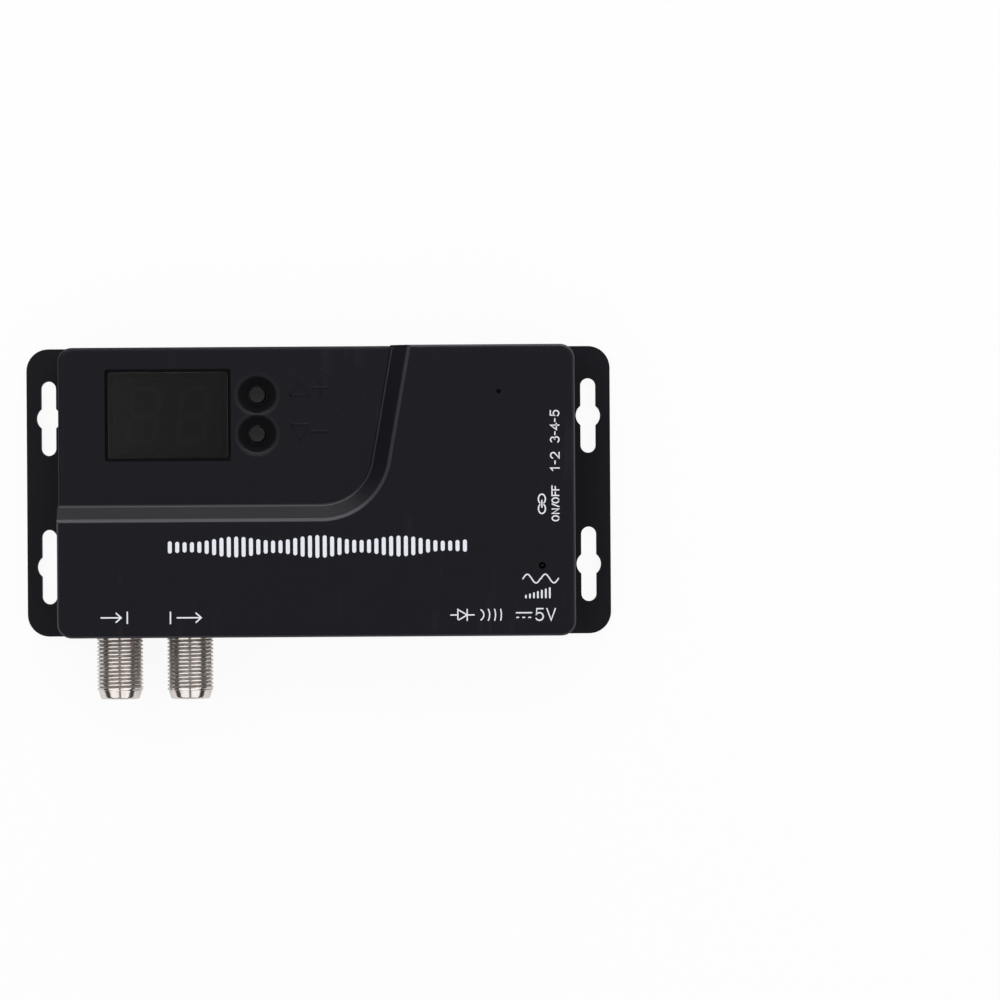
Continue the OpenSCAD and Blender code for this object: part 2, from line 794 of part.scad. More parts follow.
// Aerial socket: a block on the board and a barrel out through the wall, both bored
module rf_connector(x) {
    mouth = -half_d - barrel_reach;
    color(nickel_col) translate([x, 0]) difference() {
        union() {
            translate([0, rf_block_y + rf_block_l / 2, board_top])
                block(rf_block_w, rf_block_l, rf_rise + rf_block_top);
            rod_y(neck_r, -half_d - thread_len / 2, rf_block_y + slice, rf_z);
            rod_y(barrel_r, -half_d - thread_len, -half_d - seat_gap, rf_z);
            rod_y(nose_tip_r, mouth, -half_d - thread_len + slice, rf_z, nose_r);
        }
        rod_y(insulator_r + run_gap, mouth - cut, rf_block_back + cut, rf_z);
    }
}

// White core of an aerial socket, with a small entry and a bore for the contact
module rf_insulator(x) {
    face = -half_d - barrel_reach + insulator_sink;
    color(white_col) translate([x, 0]) difference() {
        rod_y(insulator_r, face, rf_block_back - insulator_sink, rf_z);
        rod_y(entry_r, face - cut, face + entry_len + cut, rf_z);
        rod_y(contact_r + run_gap, face + entry_len, rf_block_back + cut, rf_z);
    }
}

// Sprung centre contact, whose tail comes down to the board
module rf_contact(x) {
    tip = -half_d - barrel_reach + insulator_sink + entry_len + run_gap;
    back = rf_block_back + contact_r;
    color(brass_col) translate([x, 0]) difference() {
        union() {
            rod_y(contact_r, tip, back, rf_z);
            translate([0, back - tail_r, board_top])
                cylinder(h = rf_rise, r = tail_r, $fn = 24);
        }
        rod_y(contact_bore_r, tip - cut, rf_block_back - rf_block_l / 2, rf_z);
    }
}

module rf_in_connector() { rf_connector(rf_in_x); }
module rf_out_connector() { rf_connector(rf_out_x); }
module rf_in_insulator() { rf_insulator(rf_in_x); }
module rf_out_insulator() { rf_insulator(rf_out_x); }
module rf_in_contact() { rf_contact(rf_in_x); }
module rf_out_contact() { rf_contact(rf_out_x); }

module rf_shield_frame() {
    color(steel_col) translate([shield_x, shield_y, board_top]) {
        difference() {
            block(shield_w, shield_d, shield_h);
            translate([0, 0, -cut])
                block(shield_w - 2 * shield_t, shield_d - 2 * shield_t, shield_h + 2 * cut);
        }
        translate([shield_w / 6, 0]) block(shield_t, shield_d - shield_t, shield_h);
    }
}

module rf_shield_lid() {
    outer_w = shield_w + 2 * (lid_t + run_gap);
    outer_d = shield_d + 2 * (lid_t + run_gap);
    columns = floor(shield_w / vent_pitch / 2) - 1;
    rows = floor(shield_d / vent_pitch / 2) - 1;
    color(steel_col) translate([shield_x, shield_y, board_top + shield_h]) difference() {
        block(outer_w, outer_d, lid_skirt + lid_t, -lid_skirt);
        block(shield_w + 2 * run_gap, shield_d + 2 * run_gap, lid_skirt + cut, -lid_skirt - cut);
        for (i = [-columns:columns], j = [-rows:rows])
            translate([i * vent_pitch, j * vent_pitch, -cut])
                cylinder(h = lid_t + 2 * cut, r = vent_r, $fn = 24);
    }
}

// A flat chip with legs on all four sides, or on two
module chip(w, legs, sides) {
    body = w - 2 * chip_leg_out;
    pitch = (body - 4 * chip_leg_w) / (legs - 1);
    block(body, body, chip_t, chip_leg_t);
    for (k = [0:sides - 1]) rotate(k * 360 / sides)
        for (i = [0:legs - 1])
            translate([(body + chip_leg_out - chip_leg_w) / 2, (i - (legs - 1) / 2) * pitch])
                block(chip_leg_out + chip_leg_w, chip_leg_w, 2 * chip_leg_t);
}

// Places what follows on the board
module on_board(x, y) {
    translate([x, y, board_top]) children();
}

module modulator_chip() {
    color(chip_col) translate([shield_x - shield_w / 6, shield_y, board_top])
        chip(modulator_chip_w, 8, 4);
}
module video_chip() {
    color(chip_col) on_board(video_chip_x, video_chip_y) chip(video_chip_w, 16, 4);
}
module hdmi_chip() { color(chip_col) on_board(hdmi_x, hdmi_chip_y) chip(hdmi_chip_w, 12, 4); }
module memory_chip() {
    color(chip_col) on_board(memory_chip_x, memory_chip_y) chip(memory_chip_w, 4, 2);
}

module crystal() {
    color(steel_col) on_board(crystal_x, crystal_y)
        round_plate(crystal_l, crystal_w, crystal_h, crystal_w / 2 - slice);
}

module capacitors() {
    for (p = cap_places) on_board(p[0], p[1]) {
        color(chip_col) block(2 * cap_r, 2 * cap_r, cap_base_h);
        color(steel_col) translate([0, 0, cap_base_h - slice])
            cylinder(h = cap_h - cap_base_h, r = cap_r - seat_gap, $fn = 48);
    }
}

module inductor() {
    color(chip_col) on_board(inductor_x, inductor_y)
        round_plate(inductor_w, inductor_w, inductor_h, inductor_w / 6);
}

module regulator() {
    color(chip_col) on_board(regulator_x, regulator_y) {
        block(regulator_w, regulator_d, regulator_h);
        translate([0, regulator_d / 2]) block(regulator_w / 2, regulator_d, 2 * chip_leg_t);
    }
}

module chip_resistors() {
    color(chip_col) {
        for (i = [0:3]) on_board(crystal_x, crystal_y)
            translate([(i - 3 / 2) * chip_part_pitch, crystal_w / 2 + chip_part_l])
                block(chip_part_w, chip_part_l, chip_part_h);
        for (i = [0:5]) on_board(hdmi_x, hdmi_chip_y)
            translate([hdmi_chip_w / 2 + 2 * chip_part_l, (i - 5 / 2) * chip_part_pitch * 3 / 4])
                block(chip_part_l, chip_part_w, chip_part_h);
        for (i = [0:4]) on_board(video_chip_x, video_chip_y)
            translate([(i - 2) * chip_part_pitch, -video_chip_w / 2 - chip_part_l])
                block(chip_part_w, chip_part_l, chip_part_h);
    }
}

// Outline of a socket shell, wide above and narrower towards the board
module shell_outline(w, h, taper, shrink) {
    hw = w / 2 - shrink;
    k = taper + shrink * (tan(180 / 8) - 1);
    polygon([[-hw, h - shrink], [hw, h - shrink], [hw, shrink + k], [hw - k, shrink],
        [k - hw, shrink], [-hw, shrink + k]]);
}

// A length of socket shell from y0 to y1, or the solid inside it when shrink is given
module shell_run(w, h, taper, shrink, y0, y1) {
    translate([0, y1, board_top]) rotate([90, 0, 0])
        linear_extrude(y1 - y0) shell_outline(w, h, taper, shrink);
}

module usb_socket_shell() {
    mouth = -half_d + usb_sink;
    color(steel_col) translate([usb_x, 0]) difference() {
        shell_run(usb_w, usb_h, usb_taper, 0, mouth, mouth + usb_depth);
        shell_run(usb_w, usb_h, usb_taper, usb_t, mouth - cut, mouth + usb_depth - usb_t);
    }
}

module usb_socket_tongue() {
    back = -half_d + usb_sink + usb_depth - usb_t;
    color(dark_col) translate([usb_x, 0]) {
        shell_run(usb_w, usb_h, usb_taper, usb_t + run_gap, back - usb_back, back - run_gap);
        translate([0, back - usb_depth / 2 + usb_back / 2, board_top + usb_h / 2])
            block(usb_tongue_w, usb_depth - 2 * usb_back, usb_tongue_t);
    }
}

module hdmi_socket_shell() {
    mouth = half_d - hdmi_sink;
    color(nickel_col) translate([hdmi_x, 0]) difference() {
        shell_run(hdmi_w, hdmi_h, hdmi_taper, 0, mouth - hdmi_depth, mouth);
        shell_run(hdmi_w, hdmi_h, hdmi_taper, hdmi_t, mouth - hdmi_depth + hdmi_t, mouth + cut);
    }
}

// Reach and height of the video socket's tongue
hdmi_tongue_back = half_d - hdmi_sink - hdmi_depth + hdmi_t + run_gap;
hdmi_tongue_front = half_d - hdmi_sink - hdmi_mouth;
hdmi_tongue_z = board_top + (hdmi_h - hdmi_tongue_t) / 2;

module hdmi_socket_tongue() {
    color(dark_col) translate([hdmi_x, 0]) {
        shell_run(hdmi_w, hdmi_h, hdmi_taper, hdmi_t + run_gap, hdmi_tongue_back,
            hdmi_tongue_back + hdmi_back);
        translate([0, (hdmi_tongue_back + hdmi_tongue_front) / 2, hdmi_tongue_z])
            block(hdmi_tongue_w, hdmi_tongue_front - hdmi_tongue_back, hdmi_tongue_t);
    }
}

module hdmi_socket_contacts() {
    y0 = hdmi_tongue_back + hdmi_back;
    y1 = hdmi_tongue_front - hdmi_tongue_t / 2;
    color(brass_col) translate([hdmi_x, (y0 + y1) / 2]) {
        for (i = [0:9]) translate([(i - 9 / 2) * strip_pitch, 0, hdmi_tongue_z + hdmi_tongue_t])
            block(strip_w, y1 - y0, strip_t);
        for (i = [-4:4]) translate([i * strip_pitch, 0, hdmi_tongue_z - strip_t])
            block(strip_w, y1 - y0, strip_t);
    }
}

module ir_jack_body() {
    color(dark_col) translate([jack_x, 0]) difference() {
        union() {
            translate([0, jack_y + jack_l / 2, board_top]) block(jack_w, jack_l, jack_h);
            rod_y(jack_nose_r, -half_d + jack_sink, jack_y + slice, jack_z);
        }
        rod_y(jack_bore_d / 2, -half_d - cut, -half_d + jack_depth, jack_z);
        for (s = [-1, 1]) translate([s * (jack_w - jack_pocket) / 2, jack_y + jack_l / 2, board_top - cut])
            block(jack_pocket + slice, jack_strip_w + 2 * seat_gap, jack_h + 2 * cut);
    }
}

module ir_jack_contacts() {
    color(brass_col) for (s = [-1, 1])
        translate([jack_x + s * (jack_w / 2 - jack_pocket + jack_strip_t / 2 + seat_gap / 2),
            jack_y + jack_l / 2, board_top])
            block(jack_strip_t, jack_strip_w, jack_h);
}

// A small lamp standing on its leads, its dome up
module lamp(x, y) {
    translate([x, y, led_z]) {
        cylinder(h = led_flange_h, r = led_flange_r, $fn = 48);
        cylinder(h = led_h - led_r, r = led_r, $fn = 48);
        intersection() {
            translate([0, 0, led_h - led_r]) sphere(led_r, $fn = 48);
            translate([0, 0, led_h - led_r - slice]) cylinder(h = led_r + slice, r = led_r, $fn = 48);
        }
    }
}

module signal_led() { color(white_col) lamp(signal_x, signal_y); }
module power_led() { color(white_col) lamp(power_x, power_y); }

module led_leads() {
    color(steel_col) for (p = [[signal_x, signal_y], [power_x, power_y]], s = [-1, 1])
        translate([p[0], p[1] + s * lead_pitch / 2, board_top])
            block(lead_w, lead_w, led_z - board_top);
}

top_cover();
base_plate();
display_window();
case_screws();
board_screws();
circuit_board();
display_module();
display_segments();
display_pins();
channel_up_switch();
channel_up_button();
channel_down_switch();
channel_down_button();
switch_frames();
switch_domes();
standard_switch_body();
standard_slider();
link_switch_body();
link_slider();
rf_in_connector();
rf_out_connector();
rf_in_insulator();
rf_out_insulator();
rf_in_contact();
rf_out_contact();
rf_shield_frame();
rf_shield_lid();
modulator_chip();
video_chip();
hdmi_chip();
memory_chip();
crystal();
capacitors();
inductor();
regulator();
chip_resistors();
hdmi_socket_shell();
hdmi_socket_tongue();
hdmi_socket_contacts();
usb_socket_shell();
usb_socket_tongue();
ir_jack_body();
ir_jack_contacts();
signal_led();
power_led();
led_leads();
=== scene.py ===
import json
import math

import bmesh
import bpy
import numpy as np
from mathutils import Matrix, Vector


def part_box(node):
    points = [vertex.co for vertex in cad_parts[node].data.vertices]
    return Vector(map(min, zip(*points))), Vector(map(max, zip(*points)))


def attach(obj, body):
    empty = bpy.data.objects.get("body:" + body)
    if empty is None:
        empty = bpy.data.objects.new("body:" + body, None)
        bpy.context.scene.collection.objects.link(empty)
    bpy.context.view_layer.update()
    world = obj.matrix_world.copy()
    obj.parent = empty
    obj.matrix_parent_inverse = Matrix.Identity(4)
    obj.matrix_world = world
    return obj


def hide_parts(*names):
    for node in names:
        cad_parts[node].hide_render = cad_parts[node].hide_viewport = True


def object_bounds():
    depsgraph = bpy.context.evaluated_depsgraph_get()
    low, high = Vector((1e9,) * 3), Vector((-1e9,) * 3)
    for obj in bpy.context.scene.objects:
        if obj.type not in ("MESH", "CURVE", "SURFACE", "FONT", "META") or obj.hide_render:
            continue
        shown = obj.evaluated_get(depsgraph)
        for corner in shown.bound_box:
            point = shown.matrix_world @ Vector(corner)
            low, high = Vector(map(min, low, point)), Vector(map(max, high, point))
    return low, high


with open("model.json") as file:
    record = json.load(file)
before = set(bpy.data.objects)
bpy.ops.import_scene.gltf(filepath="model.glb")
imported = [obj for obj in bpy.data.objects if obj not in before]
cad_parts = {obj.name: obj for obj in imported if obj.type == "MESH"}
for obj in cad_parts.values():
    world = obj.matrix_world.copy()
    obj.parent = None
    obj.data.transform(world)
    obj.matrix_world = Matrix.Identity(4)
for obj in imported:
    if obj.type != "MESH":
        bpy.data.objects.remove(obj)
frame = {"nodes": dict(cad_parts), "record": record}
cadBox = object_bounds()
mm = 0.001
print("frame loaded:", len(frame["nodes"]), "nodes")


def boxOf(node):
    # Lowest and highest corner of a node, in millimetres
    return [np.array(corner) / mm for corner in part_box(node)]


# The camera looks straight down, to the right of the object's middle
cameraPlace = {
    "x": 37.97,
    "y": -2.06,
    "height": 1102,
    "roll": -0.36,
    "lens": 189,
    "sensor": 36,
}


def makeCamera(place):
    data = bpy.data.cameras.new("camera")
    data.lens = place["lens"]
    data.sensor_width = place["sensor"]
    camera = bpy.data.objects.new("camera", data)
    camera.location = (place["x"] * mm, place["y"] * mm, place["height"] * mm)
    camera.rotation_euler = (0, 0, math.radians(place["roll"]))
    bpy.context.scene.collection.objects.link(camera)
    bpy.context.scene.camera = camera


makeCamera(cameraPlace)
bpy.context.scene.view_settings.view_transform = "Standard"
print("camera placed")


class Sock:
    # One output of a node. Arithmetic on it adds Math nodes to the same material.
    def __init__(self, finish, socket):
        self.finish = finish
        self.socket = socket

    def math(self, operation, first, second=0.0):
        return self.finish.node("ShaderNodeMath", {"operation": operation}, {0: first, 1: second})

    def __add__(self, other):
        return self.math("ADD", self, other)

    def __sub__(self, other):
        return self.math("SUBTRACT", self, other)

    def __rsub__(self, other):
        return self.math("SUBTRACT", other, self)

    def __mul__(self, other):
        return self.math("MULTIPLY", self, other)

    __radd__ = __add__
    __rmul__ = __mul__


class Finish:
    # A material while it is put together: node() makes every node, set() fills the shader
    def __init__(self, name, **constants):
        self.material = bpy.data.materials.new(name)
        self.material.use_nodes = True
        self.tree = self.material.node_tree
        self.shader = self.tree.nodes["Principled BSDF"]
        self.place = self.node("ShaderNodeTexCoord", output="Object")
        self.set({key.replace("_", " "): value for key, value in constants.items()})

    def node(self, kind, settings=None, values=None, output=0):
        made = self.tree.nodes.new(kind)
        for key, value in (settings or {}).items():
            setattr(made, key, value)
        for key, value in (values or {}).items():
            if isinstance(value, Sock):
                self.tree.links.new(value.socket, made.inputs[key])
            else:
                made.inputs[key].default_value = value
        return Sock(self, made.outputs[output])

    def set(self, values):
        for key, value in values.items():
            if isinstance(value, Sock):
                self.tree.links.new(value.socket, self.shader.inputs[key])
            else:
                self.shader.inputs[key].default_value = value

    def stretched(self, x, y, z):
        # The object's coordinates, each multiplied by its own factor
        return self.node("ShaderNodeVectorMath", {"operation": "MULTIPLY"}, {0: self.place, 1: (x, y, z)})

    def noise(self, size, detail, place=None):
        # Noise from 0 to 1 whose blobs are about size millimetres wide
        values = {"Vector": place or self.place, "Scale": 1 / (size * mm), "Detail": detail}
        return self.node("ShaderNodeTexNoise", None, values)

    def cells(self, size):
        # Distance to the nearest of scattered points, in units of their spacing
        values = {"Vector": self.place, "Scale": 1 / (size * mm)}
        return self.node("ShaderNodeTexVoronoi", None, values)

    def step(self, value, low, high):
        # 0 below low and 1 above high, with a smooth rise between them
        values = {"Value": value, "From Min": low, "From Max": high}
        return self.node("ShaderNodeMapRange", {"interpolation_type": "SMOOTHSTEP"}, values)

    def band(self, value, low, high, soft):
        # 1 between low and high, falling to 0 over soft on both sides
        return self.step(value, low - soft, low) * (1 - self.step(value, high, high + soft))

    def mix(self, share, first, second):
        values = {0: share, 6: first, 7: second}
        return self.node("ShaderNodeMix", {"data_type": "RGBA"}, values, output=2)

    def bump(self, height, depth):
        # Relief whose full height is depth millimetres
        return self.node("ShaderNodeBump", None, {"Height": height, "Distance": depth * mm})

    def axis(self, name):
        # One of the object's coordinates, in millimetres
        return self.node("ShaderNodeSeparateXYZ", None, {0: self.place}, output=name) * (1 / mm)


def grey(level, blue=1.0):
    return (level, level, level * blue, 1)


def toned(colour, factor):
    # The colour made lighter or darker by a factor
    return tuple(min(1, c * factor) for c in colour[:3]) + (1,)


# Moulded black plastic: spark-eroded grain, slow unevenness, faint rubs and a few dust specks. The
# edges of the top are lighter, partly polish from hands and partly a painted highlight, and a painted
# highlight line runs along the bevel's foot. A band is (height where it starts, height where it ends),
# in millimetres, and fades over soft. The one at the bevel's foot stays footInset inside the walls and
# fades over footMargin. The wells round the buttons are painted lighter, as painted light: wholly
# within the first wellReach and not past the second, and from none at the first wellFloor to all at
# the second.
casePlastic = {
    "colour": grey(0.0034, 1.95),
    "worn": grey(0.014, 1.3),
    # Lighter colour of the top's edges and the bevel's foot: on the edges partly wear and partly painted
    # highlight, at the foot painted highlight
    "edge": grey(0.042, 1.2),
    "dust": grey(0.2, 1.02),
    "roughness": 0.42,
    "specular": 0.155,
    "grain": 0.32,
    "relief": 0.011,
    "wornEdgeHighlightBand": (19.4, 19.86),
    "footHighlightBand": (17.08, 17.18),
    "soft": 0.08,
    "footInset": 0.3,
    "footMargin": 0.2,
    # Painted light: lighter colour in the wells round the buttons
    "paintedWellLight": grey(0.009, 1.2),
    "wellNodes": ["channel_up_button", "channel_down_button"],
    "wellReach": (4.3, 4.9),
    "wellFloor": (13, 14),
}


def mouldedPlastic(name, look):
    f = Finish(name, Specular_IOR_Level=look["specular"])
    coarse = f.noise(look["grain"], 3)
    fine = f.noise(look["grain"] / 3, 2)
    cloud = f.noise(26, 3)
    rubs = f.noise(2.2, 4, f.stretched(1, 0.12, 1))
    rubbed = f.step(rubs * cloud, 0.33, 0.46)
    patch = f.step(f.noise(11, 2), 0.5, 0.64)
    speck = (1 - f.step(f.cells(1.9), 0.014, 0.03)) * patch
    x, y, height = (f.axis(letter) for letter in "XYZ")
    reaches = (boxOf("top_cover")[1][:2] - look["footInset"]).tolist()
    beyond = [
        f.step(along * along, (reach - look["footMargin"]) ** 2, reach ** 2)
        for along, reach in zip((x, y), reaches)
    ]
    within = 1 - f.step(beyond[0] + beyond[1], 0, 1)
    # Painted highlight: a lighter line along the bevel's foot, kept footInset inside the walls
    foot = f.band(height, *look["footHighlightBand"], look["soft"]) * within
    edge = f.band(height, *look["wornEdgeHighlightBand"], look["soft"]) + foot
    base = f.mix(rubbed * 0.35, look["colour"], look["worn"])
    # The top's edges (partly wear, partly painted highlight) and the foot's painted highlight take the
    # lighter edge colour
    base = f.mix(edge * (0.5 + cloud * 0.6), base, look["edge"])
    # Painted light: the wells round the buttons take a lighter colour, as if more light reached into them
    near, far = (reach * reach for reach in look["wellReach"])
    above = f.step(height, *look["wellFloor"])
    for button in look["wellNodes"]:
        wellX, wellY = (sum(boxOf(button)) / 2)[:2].tolist()
        inside = 1 - f.step((x - wellX) * (x - wellX) + (y - wellY) * (y - wellY), near, far)
        base = f.mix(inside * above, base, look["paintedWellLight"])
    f.set({
        "Base Color": f.mix(speck * 0.6, base, look["dust"]),
        "Roughness": look["roughness"] + cloud * 0.08 - rubbed * 0.05 + speck * 0.2 - edge * 0.14,
        "Normal": f.bump(coarse * 0.65 + fine * 0.35, look["relief"]),
    })
    return f.material


# Smoked acrylic: almost opaque, so that the digits behind it only just show
windowLook = {"colour": grey(0.0075, 0.97), "alpha": 0.74, "roughness": 0.14, "specular": 0.25}


def smokedAcrylic(look):
    f = Finish("smoked_acrylic", Alpha=look["alpha"], Specular_IOR_Level=look["specular"])
    haze = f.noise(7, 3)
    hair = f.step(f.noise(0.5, 3, f.stretched(1, 0.06, 1)), 0.66, 0.74)
    speck = 1 - f.step(f.cells(3.1), 0.012, 0.024)
    f.set({
        "Base Color": f.mix(speck * 0.5, look["colour"], grey(0.25)),
        "Roughness": look["roughness"] + haze * 0.1 + hair * 0.15,
        "Normal": f.bump(haze, 0.004),
    })
    return f.material


def smallPlastic(name, colour, roughness, specular=0.45):
    # Small moulded parts: a finer grain, and tone that drifts a little
    f = Finish(name, Specular_IOR_Level=specular)
    fine = f.noise(0.2, 3)
    drift = f.noise(3, 2)
    f.set({
        "Base Color": f.mix(drift * 0.5, colour, toned(colour, 1.5)),
        "Roughness": roughness + fine * 0.1,
        "Normal": f.bump(fine, 0.006),
    })
    return f.material


# Nickel plate: turning marks round the barrel, stains, and grime low in the thread
nickelLook = {
    "colour": (0.80, 0.745, 0.71, 1),
    "stain": (0.45, 0.36, 0.29, 1),
    "grime": (0.08, 0.065, 0.05, 1),
    "roughness": 0.11,
}


def nickelPlate(look):
    f = Finish("nickel_plate", Metallic=1.0)
    depth = f.node("ShaderNodeAttribute", {"attribute_name": "threadDepth"}, output="Fac")
    turning = f.noise(0.09, 2, f.stretched(0.15, 1, 0.15))
    blotch = f.noise(1.1, 4)
    pits = 1 - f.step(f.cells(0.42), 0.06, 0.2)
    stained = f.step(blotch, 0.5, 0.72)
    grime = f.step(depth * (0.55 + blotch * 0.9), 0.55, 1.05)
    base = f.mix(stained * 0.22 + pits * 0.15, look["colour"], look["stain"])
    f.set({
        "Base Color": f.mix(grime * 0.72, base, look["grime"]),
        "Metallic": 1 - grime * 0.5,
        "Roughness": look["roughness"] + blotch * 0.1 + grime * 0.25,
        "Normal": f.bump(turning * 0.5 + blotch * 0.5 - pits * 0.4, 0.0025),
    })
    return f.material


def platedSteel(name, colour, roughness, grain):
    # Rolled and plated sheet: fine grain lines, long where a grain factor is small, and cloudy plating
    f = Finish(name, Metallic=1.0)
    lines = f.noise(0.16, 3, f.stretched(*grain, 1))
    cloud = f.noise(2.4, 3)
    f.set({
        "Base Color": f.mix(f.step(cloud, 0.45, 0.8) * 0.6, colour, toned(colour, 0.55)),
        "Roughness": roughness + lines * 0.12 + cloud * 0.08,
        "Normal": f.bump(lines, 0.004),
    })
    return f.material


def boardLaminate():
    # Green solder mask over tracks, with the tracks' edges just raised
    f = Finish("board_laminate", Coat_Weight=0.3)
    tracks = f.node("ShaderNodeTexBrick", {"offset": 0.5, "squash": 1.6}, {
        "Vector": f.place, "Scale": 1 / (6 * mm), "Mortar Size": 0.06,
    }, output="Fac")
    weave = f.noise(0.35, 2)
    f.set({
        "Base Color": f.mix(tracks, (0.006, 0.10, 0.04, 1), (0.02, 0.2, 0.075, 1)),
        "Roughness": 0.32 + weave * 0.15,
        "Normal": f.bump(tracks * 0.7 + weave * 0.3, 0.02),
    })
    return f.material


# Moulded resin bodies; below legTop the same node is its tinned legs
chipLook = {"body": grey(0.016), "legTop": 5.32}


def chipResin(look):
    f = Finish("chip_resin")
    legs = 1 - f.step(f.axis("Z"), look["legTop"] - 0.02, look["legTop"])
    grain = f.noise(0.12, 2)
    f.set({
        "Base Color": f.mix(legs, look["body"], grey(0.62)),
        "Metallic": legs,
        "Roughness": 0.55 - legs * 0.25 + grain * 0.1,
        "Normal": f.bump(grain, 0.01),
    })
    return f.material


def capacitorCan(footTop):
    # Bare drawn aluminium above a black foot
    f = Finish("capacitor_can")
    metal = f.step(f.axis("Z"), footTop - 0.05, footTop)
    lines = f.noise(0.1, 2, f.stretched(1, 1, 0.1))
    f.set({
        "Base Color": f.mix(metal, grey(0.02), grey(0.72)),
        "Metallic": metal,
        "Roughness": 0.5 - metal * 0.22 + lines * 0.1,
        "Normal": f.bump(lines, 0.004),
    })
    return f.material


def clearResin(name, colour):
    # Cast resin of a small lamp, a little cloudy inside
    f = Finish(name, Transmission_Weight=0.35, IOR=1.52)
    cloud = f.noise(0.6, 3)
    f.set({
        "Base Color": f.mix(cloud * 0.5, colour, toned(colour, 1.4)),
        "Roughness": 0.12 + cloud * 0.15,
        "Normal": f.bump(cloud, 0.004),
    })
    return f.material


def printInk():
    # Screen-printed white: slightly uneven, with pinholes
    f = Finish("print_ink", Specular_IOR_Level=0.3)
    uneven = f.noise(0.22, 3)
    pinholes = f.step(uneven, 0.7, 0.76)
    f.set({
        "Base Color": f.mix(pinholes * 0.5, (0.78, 0.79, 0.86, 1), grey(0.3)),
        "Roughness": 0.5 + uneven * 0.2,
        "Normal": f.bump(uneven, 0.006),
    })
    return f.material


finishes = {
    "case_plastic": mouldedPlastic("moulded_plastic", casePlastic),
    "smoked_window": smokedAcrylic(windowLook),
    "button_plastic": smallPlastic("button_nylon", grey(0.006, 1.02), roughness=0.5, specular=0.2),
    "slider_plastic": smallPlastic("slider_nylon", grey(0.014, 1.05), roughness=0.38),
    "socket_plastic": smallPlastic("socket_nylon", grey(0.012, 1.05), roughness=0.42),
    "display_plastic": smallPlastic("display_face", grey(0.012), roughness=0.6),
    "segment_resin": smallPlastic("segment_resin", (0.30, 0.07, 0.07, 1), roughness=0.5),
    "nickel": nickelPlate(nickelLook),
    "plated_steel": platedSteel("plated_steel", (0.66, 0.66, 0.65, 1), roughness=0.24, grain=(0.08, 1)),
    "contact_brass": platedSteel("contact_brass", (0.83, 0.6, 0.26, 1), roughness=0.22, grain=(1, 0.1)),
    "core_plastic": smallPlastic("core_plastic", (0.72, 0.71, 0.67, 1), roughness=0.4),
    "board_laminate": boardLaminate(),
    "chip_resin": chipResin(chipLook),
    "can_aluminium": capacitorCan(footTop=5.9),
    "lamp_resin": clearResin("lamp_resin", (0.035, 0.036, 0.034, 1)),
}
ink = printInk()
print("finishes made:", len(finishes) + 1)


def gridFaces(rows, columns, wrapRows=False, wrapColumns=False):
    # Quads between neighbouring points of a grid, closing it on itself where it wraps
    r = np.arange(rows if wrapRows else rows - 1)[:, None]
    c = np.arange(columns if wrapColumns else columns - 1)[None, :]
    r2 = (r + 1) % rows
    c2 = (c + 1) % columns
    corners = [r * columns + c, r * columns + c2, r2 * columns + c2, r2 * columns + c]
    return np.stack([np.broadcast_to(k, (r.size, c.size)) for k in corners], -1).reshape(-1, 4)


mergeReach = 0.002


def merged(mesh):
    # An editable copy of a mesh whose doubled points are one
    work = bmesh.new()
    work.from_mesh(mesh)
    bmesh.ops.remove_doubles(work, verts=work.verts, dist=mergeReach * mm)
    return work


def tidyMesh(mesh, sharp, turnOut=True):
    # Merges doubled points, turns the faces outwards and keeps edges over sharp degrees crisp
    work = merged(mesh)
    if turnOut:
        bmesh.ops.recalc_face_normals(work, faces=work.faces)
    work.to_mesh(mesh)
    work.free()
    mesh.polygons.foreach_set("use_smooth", np.ones(len(mesh.polygons), bool))
    mesh.set_sharp_from_angle(angle=math.radians(sharp))


def addPiece(name, mesh, body, finish, nodes=()):
    mesh.materials.clear()
    mesh.materials.append(finish)
    piece = bpy.data.objects.new(name, mesh)
    bpy.context.scene.collection.objects.link(piece)
    # Large faces keep their own normals, so only the roundings between them look round
    normals = piece.modifiers.new("normals", "WEIGHTED_NORMAL")
    normals.keep_sharp = True
    normals.weight = 100
    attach(piece, body)
    if nodes:
        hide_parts(*nodes)


def gridPiece(name, parts, body, finish, nodes=(), sharp=35, values=None):
    # One piece of several grids. A part is (points in millimetres, wraps in rows, wraps in columns).
    mesh = bpy.data.meshes.new(name)
    points = np.concatenate([p.reshape(-1, 3) for p, _, _ in parts])
    starts = np.cumsum([0] + [p.shape[0] * p.shape[1] for p, _, _ in parts[:-1]])
    faces = [gridFaces(p.shape[0], p.shape[1], a, b) + s for (p, a, b), s in zip(parts, starts)]
    mesh.from_pydata((points * mm).tolist(), [], np.concatenate(faces).tolist())
    if values is not None:
        attribute = mesh.attributes.new(values[0], "FLOAT", "POINT")
        attribute.data.foreach_set("value", values[1].ravel().astype(np.float32))
    tidyMesh(mesh, sharp)
    addPiece(name, mesh, body, finish, nodes)


def nodePiece(name, parts, node, sharp=35, values=None):
    # A piece of grids that stands for a node, with the node's body and finish
    slot = slotByNode[node]
    gridPiece(name, parts, bodyOf[node], finishes[slot], [node], sharp, values)


def copyPiece(node):
    # A merged copy of a node's mesh, with smooth roundings instead of its stored normals
    mesh = frame["nodes"][node].data.copy()
    mesh.attributes.remove(mesh.attributes["custom_normal"])
    tidyMesh(mesh, sharp=28, turnOut=False)
    slot = slotByNode[node]
    addPiece(node + "_finished", mesh, bodyOf[node], finishes[slot], [node])


def turned(profile, axisX, axisY, segments=72):
    # Surface of revolution about an upright axis: each profile point (radius, height) goes round once
    r, z = np.array(profile, float).T
    turn = np.linspace(0, 2 * np.pi, segments, endpoint=False)
    x = axisX + r[:, None] * np.cos(turn)
    y = axisY + r[:, None] * np.sin(turn)
    return np.stack([x, y, np.broadcast_to(z[:, None], x.shape)], -1)


